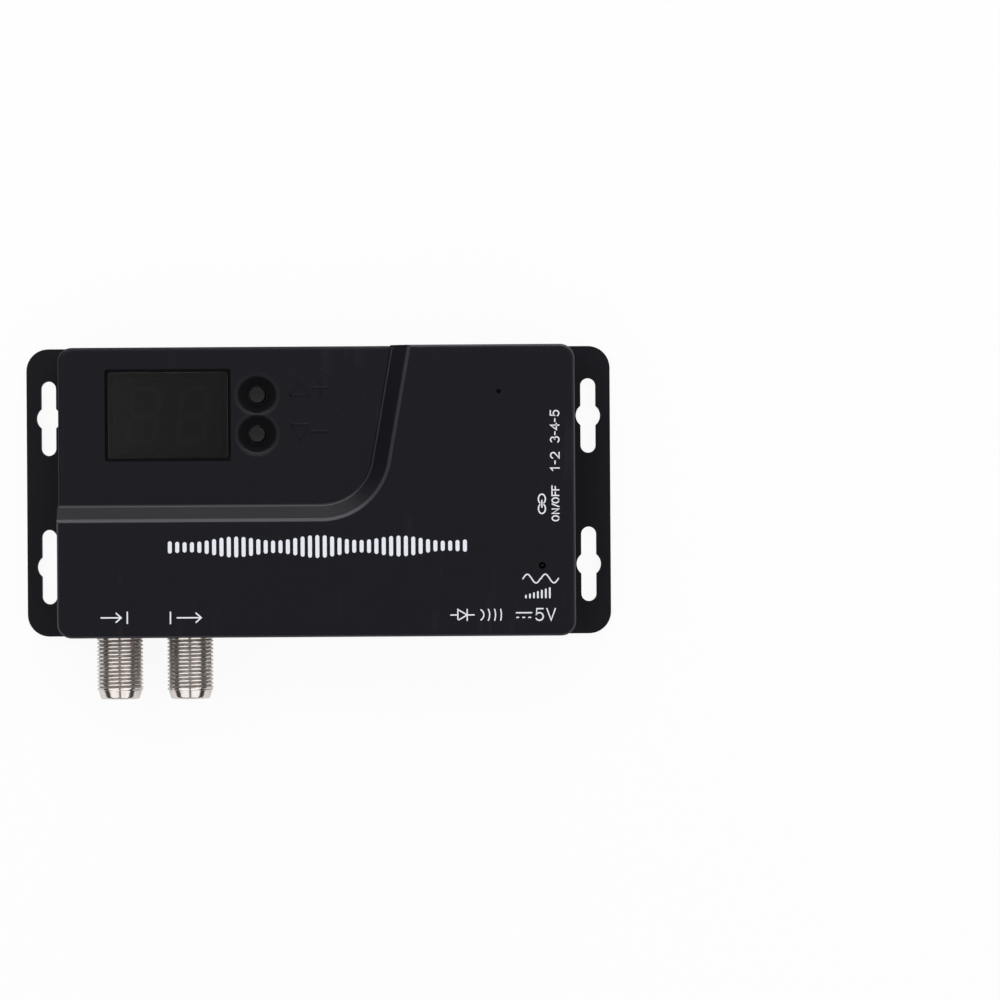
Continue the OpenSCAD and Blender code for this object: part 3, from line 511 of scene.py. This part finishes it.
# Which body and which material slot each node has
bodyOf = {node: body for body, nodes in frame["record"]["behaviour"]["bodies"].items() for node in nodes}
slotOf = {
    "case_plastic": ["top_cover", "base_plate"],
    "smoked_window": ["display_window"],
    "button_plastic": ["channel_up_button", "channel_down_button"],
    "slider_plastic": ["standard_slider", "link_slider"],
    "socket_plastic": [
        "ir_jack_body", "hdmi_socket_tongue", "usb_socket_tongue", "standard_switch_body",
        "link_switch_body", "channel_up_switch", "channel_down_switch",
    ],
    "display_plastic": ["display_module"],
    "segment_resin": ["display_segments"],
    "nickel": ["rf_in_connector", "rf_out_connector"],
    "plated_steel": [
        "hdmi_socket_shell", "usb_socket_shell", "rf_shield_frame", "rf_shield_lid", "crystal",
        "switch_frames", "case_screws", "board_screws", "led_leads", "display_pins",
    ],
    "contact_brass": [
        "rf_in_contact", "rf_out_contact", "switch_domes", "hdmi_socket_contacts", "ir_jack_contacts",
    ],
    "core_plastic": ["rf_in_insulator", "rf_out_insulator"],
    "board_laminate": ["circuit_board"],
    "chip_resin": [
        "modulator_chip", "video_chip", "hdmi_chip", "memory_chip", "inductor", "regulator",
        "chip_resistors",
    ],
    "can_aluminium": ["capacitors"],
    "lamp_resin": ["signal_led", "power_led"],
}
slotByNode = {node: slot for slot, nodes in slotOf.items() for node in nodes}
for nodeName, slotName in slotByNode.items():
    for materialSlot in frame["nodes"][nodeName].material_slots:
        materialSlot.material = finishes[slotName]
print("nodes dressed:", len(slotByNode))

# Nodes whose roundings show are shown by smooth copies
smoothNodes = [
    "top_cover", "base_plate", "rf_in_insulator", "rf_out_insulator", "ir_jack_body",
    "hdmi_socket_shell", "usb_socket_shell", "rf_in_contact", "rf_out_contact",
    "standard_slider", "link_slider", "signal_led", "power_led", "display_segments",
]
for nodeName in smoothNodes:
    copyPiece(nodeName)
print("smooth copies made:", len(smoothNodes))


# Threaded aerial sockets, from the mouth to the block inside the case. Places along the barrel are
# distances from its tip. The nose is a profile of (distance, radius), from the bore round the
# rounded mouth to the thread. The thread is flat over crestShare of a turn at its crests, and its
# flanks take flankShare.
barrel = {
    "crest": 4.75,
    "depth": 0.42,
    "pitch": 25.4 / 32,
    "crestShare": 0.34,
    "flankShare": 0.42,
    "threadFront": 1.9,
    "threadBack": 12.7,
    "runOut": 0.55,
    "bore": 3.13,
    "nose": [
        (0.25, 3.13), (0.06, 3.23), (0, 3.35), (0, 3.61), (0.05, 3.81), (0.15, 3.95), (0.35, 4.08),
        (0.7, 4.17), (1.15, 4.31), (1.45, 4.39), (1.68, 4.45), (1.78, 4.45),
    ],
    "neckR": 4.5,
    "neckGap": 0.05,
    "neckLength": 2.1,
    "axisBelowTop": 5.1,
    "boxPower": 14,
    "segments": 96,
    "rowsPerTurn": 14,
}


def threadRows(s, front, back, turn):
    # Radius of the thread over length and turn: a triangle wave of the helix phase, clipped to flat
    # crests and roots, and faded out at both ends of the thread
    rows = int((back - front) / s["pitch"] * s["rowsPerTurn"])
    y = np.linspace(front, back, rows)[:, None]
    phase = (y / s["pitch"] + turn / (2 * np.pi)) % 1
    cut = np.clip((1 - abs(2 * phase - 1) - s["crestShare"]) / s["flankShare"], 0, 1)
    fade = np.clip(np.minimum(y - front, back - y) / s["runOut"], 0, 1)
    return np.broadcast_to(y, phase.shape), s["crest"] - s["depth"] * cut * fade, cut * fade


def aerialSocket(name, node, s):
    # Rings about the barrel's axis: x = axis + r cos(turn), z = axis + r sin(turn), with y along it
    low, high = boxOf(node)
    axisX = (low[0] + high[0]) / 2
    axisZ = high[2] - s["axisBelowTop"]
    tip = low[1]
    threadBack = tip + s["threadBack"]
    turn = np.linspace(0, 2 * np.pi, s["segments"], endpoint=False)[None, :]

    def ring(y, r):
        return np.full_like(turn, y), np.full_like(turn, r), np.zeros_like(turn)

    def blockRing(y):
        # Rounded box outline: the ray from the axis meets a superellipse of high power
        c, d = abs(np.cos(turn)), abs(np.sin(turn))
        halfX = (high[0] - low[0]) / 2
        halfZ = np.where(np.sin(turn) > 0, high[2] - axisZ, axisZ - low[2])
        power = s["boxPower"]
        r = ((c / halfX) ** power + (d / halfZ) ** power) ** (-1 / power)
        return np.full_like(turn, y), r, np.zeros_like(turn)

    blockFront = threadBack + s["neckLength"]
    rows = [ring(high[1], s["bore"])]
    rows += [ring(tip + distance, r) for distance, r in s["nose"]]
    rows += [
        threadRows(s, tip + s["threadFront"], threadBack, turn), ring(threadBack + s["neckGap"], s["neckR"]),
        ring(blockFront, s["neckR"]), blockRing(blockFront), blockRing(high[1]),
    ]
    y, r, depth = (np.concatenate([row[k] for row in rows]) for k in range(3))
    points = np.stack([axisX + r * np.cos(turn), y, axisZ + r * np.sin(turn)], -1)
    nodePiece(name, [(points, True, True)], node, sharp=50, values=("threadDepth", depth))


aerialSocket("threaded_socket_in", "rf_in_connector", barrel)
aerialSocket("threaded_socket_out", "rf_out_connector", barrel)
print("threaded sockets made")


# Long stem of a push switch. The top's profile is (distance inside the shaft, depth below the top).
stem = {
    "radius": 1.65,
    "collarHeight": 0.8,
    "collarBevel": 0.1,
    "top": [(0, 0.2), (0.04, 0.08), (0.12, 0.02), (0.22, 0), (0.35, 0.03), (0.825, 0.11), (1.65, 0.12)],
}


def buttonStem(name, node, s):
    # Turned profile: collar, shaft, and a dished top with a rounded rim
    low, high = boxOf(node)
    axisX, axisY = (low[:2] + high[:2]) / 2
    collarR, bevel = (high[0] - low[0]) / 2, s["collarBevel"]
    collarTop = low[2] + s["collarHeight"]
    profile = [
        (0, low[2]), (collarR - bevel, low[2]), (collarR, low[2] + bevel), (collarR, collarTop - bevel),
        (collarR - bevel, collarTop), (s["radius"], collarTop),
    ]
    profile += [(s["radius"] - inside, high[2] - below) for inside, below in s["top"]]
    nodePiece(name, [(turned(profile, axisX, axisY), False, True)], node)


buttonStem("up_stem", "channel_up_button", stem)
buttonStem("down_stem", "channel_down_button", stem)


def roundedOutline(width, depth, radius, steps):
    # A rectangle with four quarter circles as corners, counter-clockwise
    quarter = np.linspace(0, np.pi / 2, steps)
    turns = (quarter + np.arange(4)[:, None] * np.pi / 2).ravel()
    signX = np.repeat([1, -1, -1, 1], steps)
    signY = np.repeat([1, 1, -1, -1], steps)
    x = signX * (width / 2 - radius) + radius * np.cos(turns)
    y = signY * (depth / 2 - radius) + radius * np.sin(turns)
    return np.stack([x, y], -1)


# Polished edge of the smoked window: (inset from the outline, depth below its top)
windowPiece = {
    "radius": 0.9,
    "cornerSteps": 12,
    "edge": [(0, 1.2), (0, 0.22), (0.06, 0.08), (0.16, 0.02), (0.3, 0)],
}


def windowPlate(node, s):
    # A stack of inset outlines, closed by its middle above and below
    low, high = boxOf(node)
    width, depth = high[0] - low[0], high[1] - low[1]
    middle = (low[:2] + high[:2]) / 2
    thick = high[2] - low[2]

    def level(outline, below):
        z = np.full((len(outline), 1), high[2] - min(below, thick))
        return np.concatenate([outline + middle, z], 1)

    outlines = [
        roundedOutline(width - 2 * inset, depth - 2 * inset, s["radius"] - inset, s["cornerSteps"])
        for inset, _ in s["edge"]
    ]
    centre = np.zeros_like(outlines[0])
    rings = [level(centre, thick)]
    rings += [level(outline, below) for outline, (_, below) in zip(outlines, s["edge"])]
    rings.append(level(centre, 0))
    nodePiece("window_plate", [(np.array(rings), False, True)], node)


windowPlate("display_window", windowPiece)
print("window and button stems made")


# Case and board screws: pan heads with a cross recess, and a thread on the shank
screw = {
    "recess": 0.75,
    "armHalf": 0.3,
    "armReach": 1.15,
    "armTaper": 3,
    "armFlank": 2.5,
    "crown": 0.12,
    "rim": [(0.96, 0.16), (1, 0.26)],
    "headR": 2,
    "crownShare": 0.9,
    "headRings": 22,
    "caseHead": 1.1,
    "boardHead": 1.4,
    "shankR": 1.1,
    "pitch": 0.8,
    "threadDepth": 0.18,
    "segments": 64,
    "rowsPerTurn": 8,
}


def screwShape(x, y, z, up, headH, length, s):
    # Head: depth over (radius, turn), sunk in a cross whose arms taper. Shank: helix as on the barrels.
    turn = np.linspace(0, 2 * np.pi, s["segments"], endpoint=False)[None, :]
    headR, shankR = s["headR"], s["shankR"]
    r = np.linspace(0, headR * s["crownShare"], s["headRings"])[:, None]
    dx, dy = abs(r * np.cos(turn)), abs(r * np.sin(turn))
    arm = np.minimum(np.maximum(dx, dy) / s["armReach"], 1)
    across = np.minimum(dx, dy) / s["armHalf"]
    sunk = np.clip((1 - arm) * s["armTaper"], 0, 1) * np.clip((1 - across) * s["armFlank"], 0, 1)
    rows = [(r + 0 * turn, -(s["recess"] * sunk + s["crown"] * (r / headR) ** 2))]
    edge = [(headR * share, -below) for share, below in s["rim"]] + [(headR, -headH), (shankR, -headH)]
    rows += [(np.full_like(turn, a), np.full_like(turn, b)) for a, b in edge]
    down = np.linspace(headH, headH + length, int(length / s["pitch"] * s["rowsPerTurn"]))[:, None]
    phase = (down / s["pitch"] + turn / (2 * np.pi)) % 1
    helix = shankR - s["threadDepth"] * (1 - abs(2 * phase - 1))
    rows += [(helix, -down + 0 * turn), (np.zeros_like(turn), np.full_like(turn, -headH - length))]
    radius, height = (np.concatenate([row[k] for row in rows]) for k in range(2))
    return np.stack([x + radius * np.cos(turn), y + radius * np.sin(turn), z + up * height], -1)


def islandBoxes(node):
    # Lowest and highest corner of each separate solid of a node. Each point takes the lowest number
    # among its own and its neighbours', until none changes and a solid's points share one number.
    work = merged(frame["nodes"][node].data)
    work.verts.index_update()
    points = np.array([vert.co for vert in work.verts]) / mm
    first, second = np.array([[vert.index for vert in edge.verts] for edge in work.edges]).T
    work.free()
    number, before = np.arange(len(points)), None
    while not np.array_equal(number, before):
        before = number.copy()
        np.minimum.at(number, first, before[second])
        np.minimum.at(number, second, before[first])
    solids = [points[number == lowest] for lowest in np.unique(number)]
    return [(solid.min(0), solid.max(0)) for solid in solids]


def screwSet(name, node, up, headH, s):
    # One screw in each solid of the node, its head upwards or downwards
    parts = []
    for low, high in islandBoxes(node):
        x, y = (low[:2] + high[:2]) / 2
        z = high[2] if up > 0 else low[2]
        length = high[2] - low[2] - headH
        parts.append((screwShape(x, y, z, up, headH, length, s), False, True))
    nodePiece(name, parts, node, sharp=40)


screwSet("cross_screws", "case_screws", -1, screw["caseHead"], screw)
screwSet("pan_screws", "board_screws", 1, screw["boardHead"], screw)
print("screws made")


# Marks are strokes: a profile (share of the half width, share of the height) carried along a flat path
printStroke = [(-1, 0), (-1, 1), (1, 1), (1, 0)]
mouldedStroke = [(-1, 0), (-0.8, 0.7), (-0.5, 1), (0.5, 1), (0.8, 0.7), (1, 0)]
endSteps = 7
crossLift = 0.12


def strokeShape(path, width, height, bottom, profile):
    # Along the path the half width is constant; past each end it falls as the root of 1 - t squared,
    # which makes the ends half circles
    path = np.array(path, float)
    step = np.diff(path, axis=0)
    length = np.concatenate([[0], np.cumsum(np.hypot(*step.T))])
    half = width / 2
    ahead = half * np.sin(np.linspace(0, np.pi / 2, endSteps))
    s = np.concatenate([-ahead[::-1], length[1:-1], length[-1] + ahead])
    inside = np.clip(s, 0, length[-1])
    place = np.stack([np.interp(inside, length, path[:, k]) for k in range(2)], -1)
    unit = step / np.hypot(*step.T)[:, None]
    corner = np.concatenate([unit[:1], unit[:-1] + unit[1:], unit[-1:]])
    corner /= np.hypot(*corner.T)[:, None]
    along = np.stack([np.interp(inside, length, corner[:, k]) for k in range(2)], -1)
    along /= np.hypot(*along.T)[:, None]
    over = s - inside
    place = place + along * over[:, None]
    mitre = np.concatenate([[1], 1 / np.clip((corner[1:-1] * unit[1:]).sum(1), 0.5, 1), [1]])
    wide = half * np.sqrt(np.clip(1 - (over / half) ** 2, 0, 1)) * np.interp(inside, length, mitre)
    side = np.stack([-along[:, 1], along[:, 0]], -1)
    across, up = np.array(profile, float).T
    flat = place[:, None, :] + side[:, None, :] * wide[:, None, None] * across[None, :, None]
    z = np.broadcast_to(bottom + height * up[None, :, None], flat.shape[:2] + (1,))
    return np.concatenate([flat, z], -1)


def arc(x, y, rx, ry, start, end, steps):
    # Points of an ellipse from start to end degrees
    turn = np.radians(np.linspace(start, end, steps))
    return np.stack([x + rx * np.cos(turn), y + ry * np.sin(turn)], -1).tolist()


# Strokes of each sign, in units of its height, from its lower left corner
signStrokes = {
    "0": [arc(0.36, 0.5, 0.36, 0.5, -90, 270, 26)],
    "1": [[(0.05, 0.76), (0.32, 1), (0.32, 0)]],
    "2": [arc(0.33, 0.68, 0.33, 0.32, 165, -30, 14) + [(0, 0), (0.68, 0)]],
    "5": [[(0.62, 1), (0.1, 1), (0.04, 0.5)] + arc(0.31, 0.33, 0.33, 0.33, 135, -150, 14)],
    "N": [[(0, 0), (0, 1), (0.66, 0), (0.66, 1)]],
    "F": [[(0.6, 1), (0, 1), (0, 0)], [(0, 0.52), (0.5, 0.52)]],
    "V": [[(0, 1), (0.36, 0), (0.72, 1)]],
    "slash": [[(0, 0), (0.4, 1)]],
    "3": [arc(0.3, 0.75, 0.28, 0.25, 150, -80, 12) + arc(0.3, 0.27, 0.33, 0.27, 80, -150, 14)],
    "4": [[(0.52, 0), (0.52, 1), (0, 0.3), (0.72, 0.3)]],
    "dash": [[(0.08, 0.48), (0.42, 0.48)]],
    "into": [[(0, 0.5), (1.8, 0.5)], [(1.35, 0.9), (1.8, 0.5), (1.35, 0.1)], [(2.35, 0), (2.35, 1)]],
    "outOf": [[(0, 0), (0, 1)], [(0.6, 0.5), (2.7, 0.5)], [(2.25, 0.9), (2.7, 0.5), (2.25, 0.1)]],
    "wave": [[(t / 10, 0.5 + 0.5 * math.sin(t * math.pi / 10)) for t in range(21)]],
    "direct": [
        [(0.05, 0.7), (1.35, 0.7)], [(0.08, 0.3), (0.22, 0.3)], [(0.6, 0.3), (0.74, 0.3)],
        [(1.12, 0.3), (1.26, 0.3)],
    ],
    "lamp": [
        [(0, 0.5), (0.6, 0.5)], [(0.6, 0.03), (0.6, 0.97), (1.4, 0.5), (0.6, 0.03)],
        [(1.4, 0.03), (1.4, 0.97)], [(1.4, 0.5), (2.0, 0.5)],
    ],
    "rays": [arc(0, 0.5, r, r, -a, a, 9) for r, a in ((0.5, 60), (1.0, 28), (1.5, 18), (2.0, 13.5))],
    "levels": [[(k * 0.42, 0), (k * 0.42, 0.2 + 0.13 * k)] for k in range(7)],
    "chain": [
        arc(0.5, 0.5, 0.5, 0.36, 35, 325, 20), arc(1.5, 0.5, 0.5, 0.36, -145, 145, 20),
        [(0.65, 0.5), (1.35, 0.5)],
    ],
    "plus": [[(0, 0.5), (0.9, 0.5)], [(0.45, 0.05), (0.45, 0.95)]],
    "minus": [[(0, 0.5), (0.9, 0.5)]],
    "up": [[(0, 0.08), (0.5, 0.92), (1, 0.08), (0, 0.08)]],
    "down": [[(0, 0.92), (0.5, 0.08), (1, 0.92), (0, 0.92)]],
}

# Heights of the raised part's top and of the recessed panel
topZ = round(cadBox[1][2] / mm, 3)
panelZ = 16.8
printHeight = 0.02
mouldedHeight = 0.12

# Each mark: its signs with their places (lower left corner), height, stroke width and whether it is turned
marks = [
    {"signs": ["into"], "places": [(-44.4, -27.0)], "height": 2.3, "stroke": 0.29},
    {"signs": ["outOf"], "places": [(-30.1, -27.1)], "height": 2.35, "stroke": 0.29},
    {"signs": ["lamp", "rays"], "places": [(27.7, -26.9), (33.3, -26.9)], "height": 2.4, "stroke": 0.26},
    {"signs": ["direct", "5", "V"], "places": [(41.1, -27.0), (45.2, -26.9), (47.5, -26.9)],
     "height": 2.4, "stroke": 0.28},
    {"signs": ["wave", "wave"], "places": [(42.6, -19.2), (46.3, -19.2)], "height": 1.8, "stroke": 0.275},
    {"signs": ["levels"], "places": [(43.2, -22.2)], "height": 1.95, "stroke": 0.36},
    {"signs": ["1", "dash", "2"], "places": [(50.2, 3.9), (50.2, 5.2), (50.2, 6.5)],
     "height": 1.75, "stroke": 0.26, "turned": True},
    {"signs": ["3", "dash", "4", "dash", "5"],
     "places": [(50.2, 9.8), (50.2, 11.2), (50.2, 12.4), (50.2, 13.9), (50.2, 15.2)],
     "height": 1.75, "stroke": 0.26, "turned": True},
    {"signs": ["0", "N", "slash", "0", "F", "F"],
     "places": [(50.1, -6.4), (50.1, -4.9), (50.1, -3.5), (50.1, -2.7), (50.1, -1.2), (50.1, -0.05)],
     "height": 1.4, "stroke": 0.26, "turned": True},
    {"signs": ["chain"], "places": [(47.6, -4.9)], "height": 2.0, "stroke": 0.275, "turned": True},
]


def signParts(mark, bottom, height, profile):
    # Each stroke ends a hair higher than the one before, so that crossing strokes share no plane
    parts = []
    for sign, corner in zip(mark["signs"], mark["places"]):
        for stroke in signStrokes[sign]:
            flat = np.array(stroke) * mark["height"]
            if mark.get("turned"):
                flat = np.stack([-flat[:, 1], flat[:, 0]], -1)
            lift = height * (1 + crossLift * len(parts))
            shape = strokeShape(flat + corner, mark["stroke"], lift, bottom, profile)
            parts.append((shape, False, True))
    return parts


# The wide row of bars across the raised part: their heights follow a swelling wave
titleBars = {
    "left": -30.55,
    "right": 31.09,
    "low": -13.77,
    "high": -9.05,
    "count": 41,
    "stroke": 0.82,
    "endShare": 0.68,
    "bulge": 0.7,
    "waves": 3.5,
    "ripple": 0.22,
}


def barRow(s):
    # Bar size at share t from -1 to 1: (end + (1 - end) cos(t pi / 2) ^ bulge) times
    # (1 - ripple + ripple cos(t pi waves))
    x = np.linspace(s["left"] + s["stroke"] / 2, s["right"] - s["stroke"] / 2, s["count"])
    t = np.linspace(-1, 1, s["count"])
    swell = s["endShare"] + (1 - s["endShare"]) * np.cos(t * np.pi / 2) ** s["bulge"]
    size = swell * (1 - s["ripple"] + s["ripple"] * np.cos(t * np.pi * s["waves"]))
    half = size * (s["high"] - s["low"]) / 2 - s["stroke"] / 2
    middle = (s["high"] + s["low"]) / 2
    paths = [[(a, middle - h), (a, middle + h)] for a, h in zip(x, half)]
    return [(strokeShape(path, s["stroke"], printHeight, topZ, printStroke), False, True) for path in paths]


gridPiece("title_bars", barRow(titleBars), "housing", ink)
for number, mark in enumerate(marks):
    parts = signParts(mark, topZ, printHeight, printStroke)
    gridPiece("printed_mark_%d" % (number + 1), parts, "housing", ink)

# Raised channel signs beside the buttons, in the cover's own plastic
mouldedMarks = [
    {"signs": ["up", "plus"], "places": [(-5.2, 19.6), (-0.7, 19.6)], "height": 3.6, "stroke": 0.6},
    {"signs": ["down", "minus"], "places": [(-4.9, 10.7), (-0.7, 10.7)], "height": 3.4, "stroke": 0.6},
]
for number, mark in enumerate(mouldedMarks):
    parts = signParts(mark, panelZ, mouldedHeight, mouldedStroke)
    gridPiece("moulded_mark_%d" % (number + 1), parts, "housing", finishes["case_plastic"])
print("marks made:", len(marks) + len(mouldedMarks) + 1)


# Plain white floor: it shows as nearly white to the camera, mirrors and glass, and keeps the shadow.
# It lies drop millimetres below the base, so that the two share no plane.
floorLook = {"size": 3.0, "colour": grey(0.82), "shown": 0.93, "mirrored": 0.3, "drop": 0.02}


def makeFloor(s):
    mesh = bpy.data.meshes.new("floor")
    h, z = s["size"] / 2, -s["drop"] * mm
    mesh.from_pydata([(-h, -h, z), (h, -h, z), (h, h, z), (-h, h, z)], [], [(0, 1, 2, 3)])
    floor = bpy.data.objects.new("floor", mesh)
    bpy.context.scene.collection.objects.link(floor)
    f = Finish("floor_white", Roughness=0.9, Specular_IOR_Level=0.1)
    f.set({"Base Color": s["colour"]})
    camera = f.node("ShaderNodeLightPath", output="Is Camera Ray")
    glossy = f.node("ShaderNodeLightPath", output="Is Glossy Ray")
    through = f.node("ShaderNodeLightPath", output="Is Transmission Ray")
    glow = f.node("ShaderNodeEmission", None, {"Color": (1, 1, 1, 1), "Strength": 1.0})
    share = camera * s["shown"] + (glossy + through) * s["mirrored"]
    surface = Sock(f, f.shader.outputs[0])
    mixed = f.node("ShaderNodeMixShader", None, {0: share, 1: surface, 2: glow})
    f.tree.links.new(mixed.socket, f.tree.nodes["Material Output"].inputs["Surface"])
    mesh.materials.append(f.material)


makeFloor(floorLook)

# Softboxes: where each stands, how large it is and how bright its face is, all in metres and watts.
# A box at the side leans only sideways, with its first length along Y.
softboxes = {
    "left": {"at": (-0.58, -0.3, 0.93), "size": (2.1, 1.07), "power": 7.6},
    "right": {"at": (0.58, -0.3, 0.93), "size": (2.1, 1.07), "power": 7.8},
    "rear": {"at": (0.0, 0.72, 0.86), "size": (1.6, 0.35), "power": 4.9},
    "rearLow": {"at": (0.0, 1.0, 0.15), "size": (1.7, 0.28), "power": 9.5},
    "front": {"at": (0.1, -1.0, 0.45), "size": (1.2, 0.4), "power": 1.0},
}


def makeLights(boxes, worldLevel):
    # Each box faces the object. The world is dim, and white only where the camera sees it.
    for name, box in boxes.items():
        data = bpy.data.lights.new(name + "_softbox", "AREA")
        data.shape = "RECTANGLE"
        data.size, data.size_y = box["size"]
        data.energy = box["power"]
        lamp = bpy.data.objects.new(name + "_softbox", data)
        lamp.location = box["at"]
        away = lamp.location.copy()
        if abs(box["at"][0]) > abs(box["at"][1]):
            away.y = 0
        lamp.rotation_euler = away.to_track_quat("Z", "Y").to_euler()
        lamp.visible_camera = False
        bpy.context.scene.collection.objects.link(lamp)
    world = bpy.data.worlds.new("studio")
    world.use_nodes = True
    tree = world.node_tree
    paths = tree.nodes.new("ShaderNodeLightPath")
    level = tree.nodes.new("ShaderNodeMapRange")
    level.inputs["To Min"].default_value = worldLevel
    level.inputs["To Max"].default_value = 1.0
    tree.links.new(paths.outputs["Is Camera Ray"], level.inputs["Value"])
    tree.nodes["Background"].inputs["Color"].default_value = (1, 1, 1, 1)
    tree.links.new(level.outputs[0], tree.nodes["Background"].inputs["Strength"])
    bpy.context.scene.world = world


dimWorld = 0.05
makeLights(softboxes, dimWorld)
print("floor and lights made")
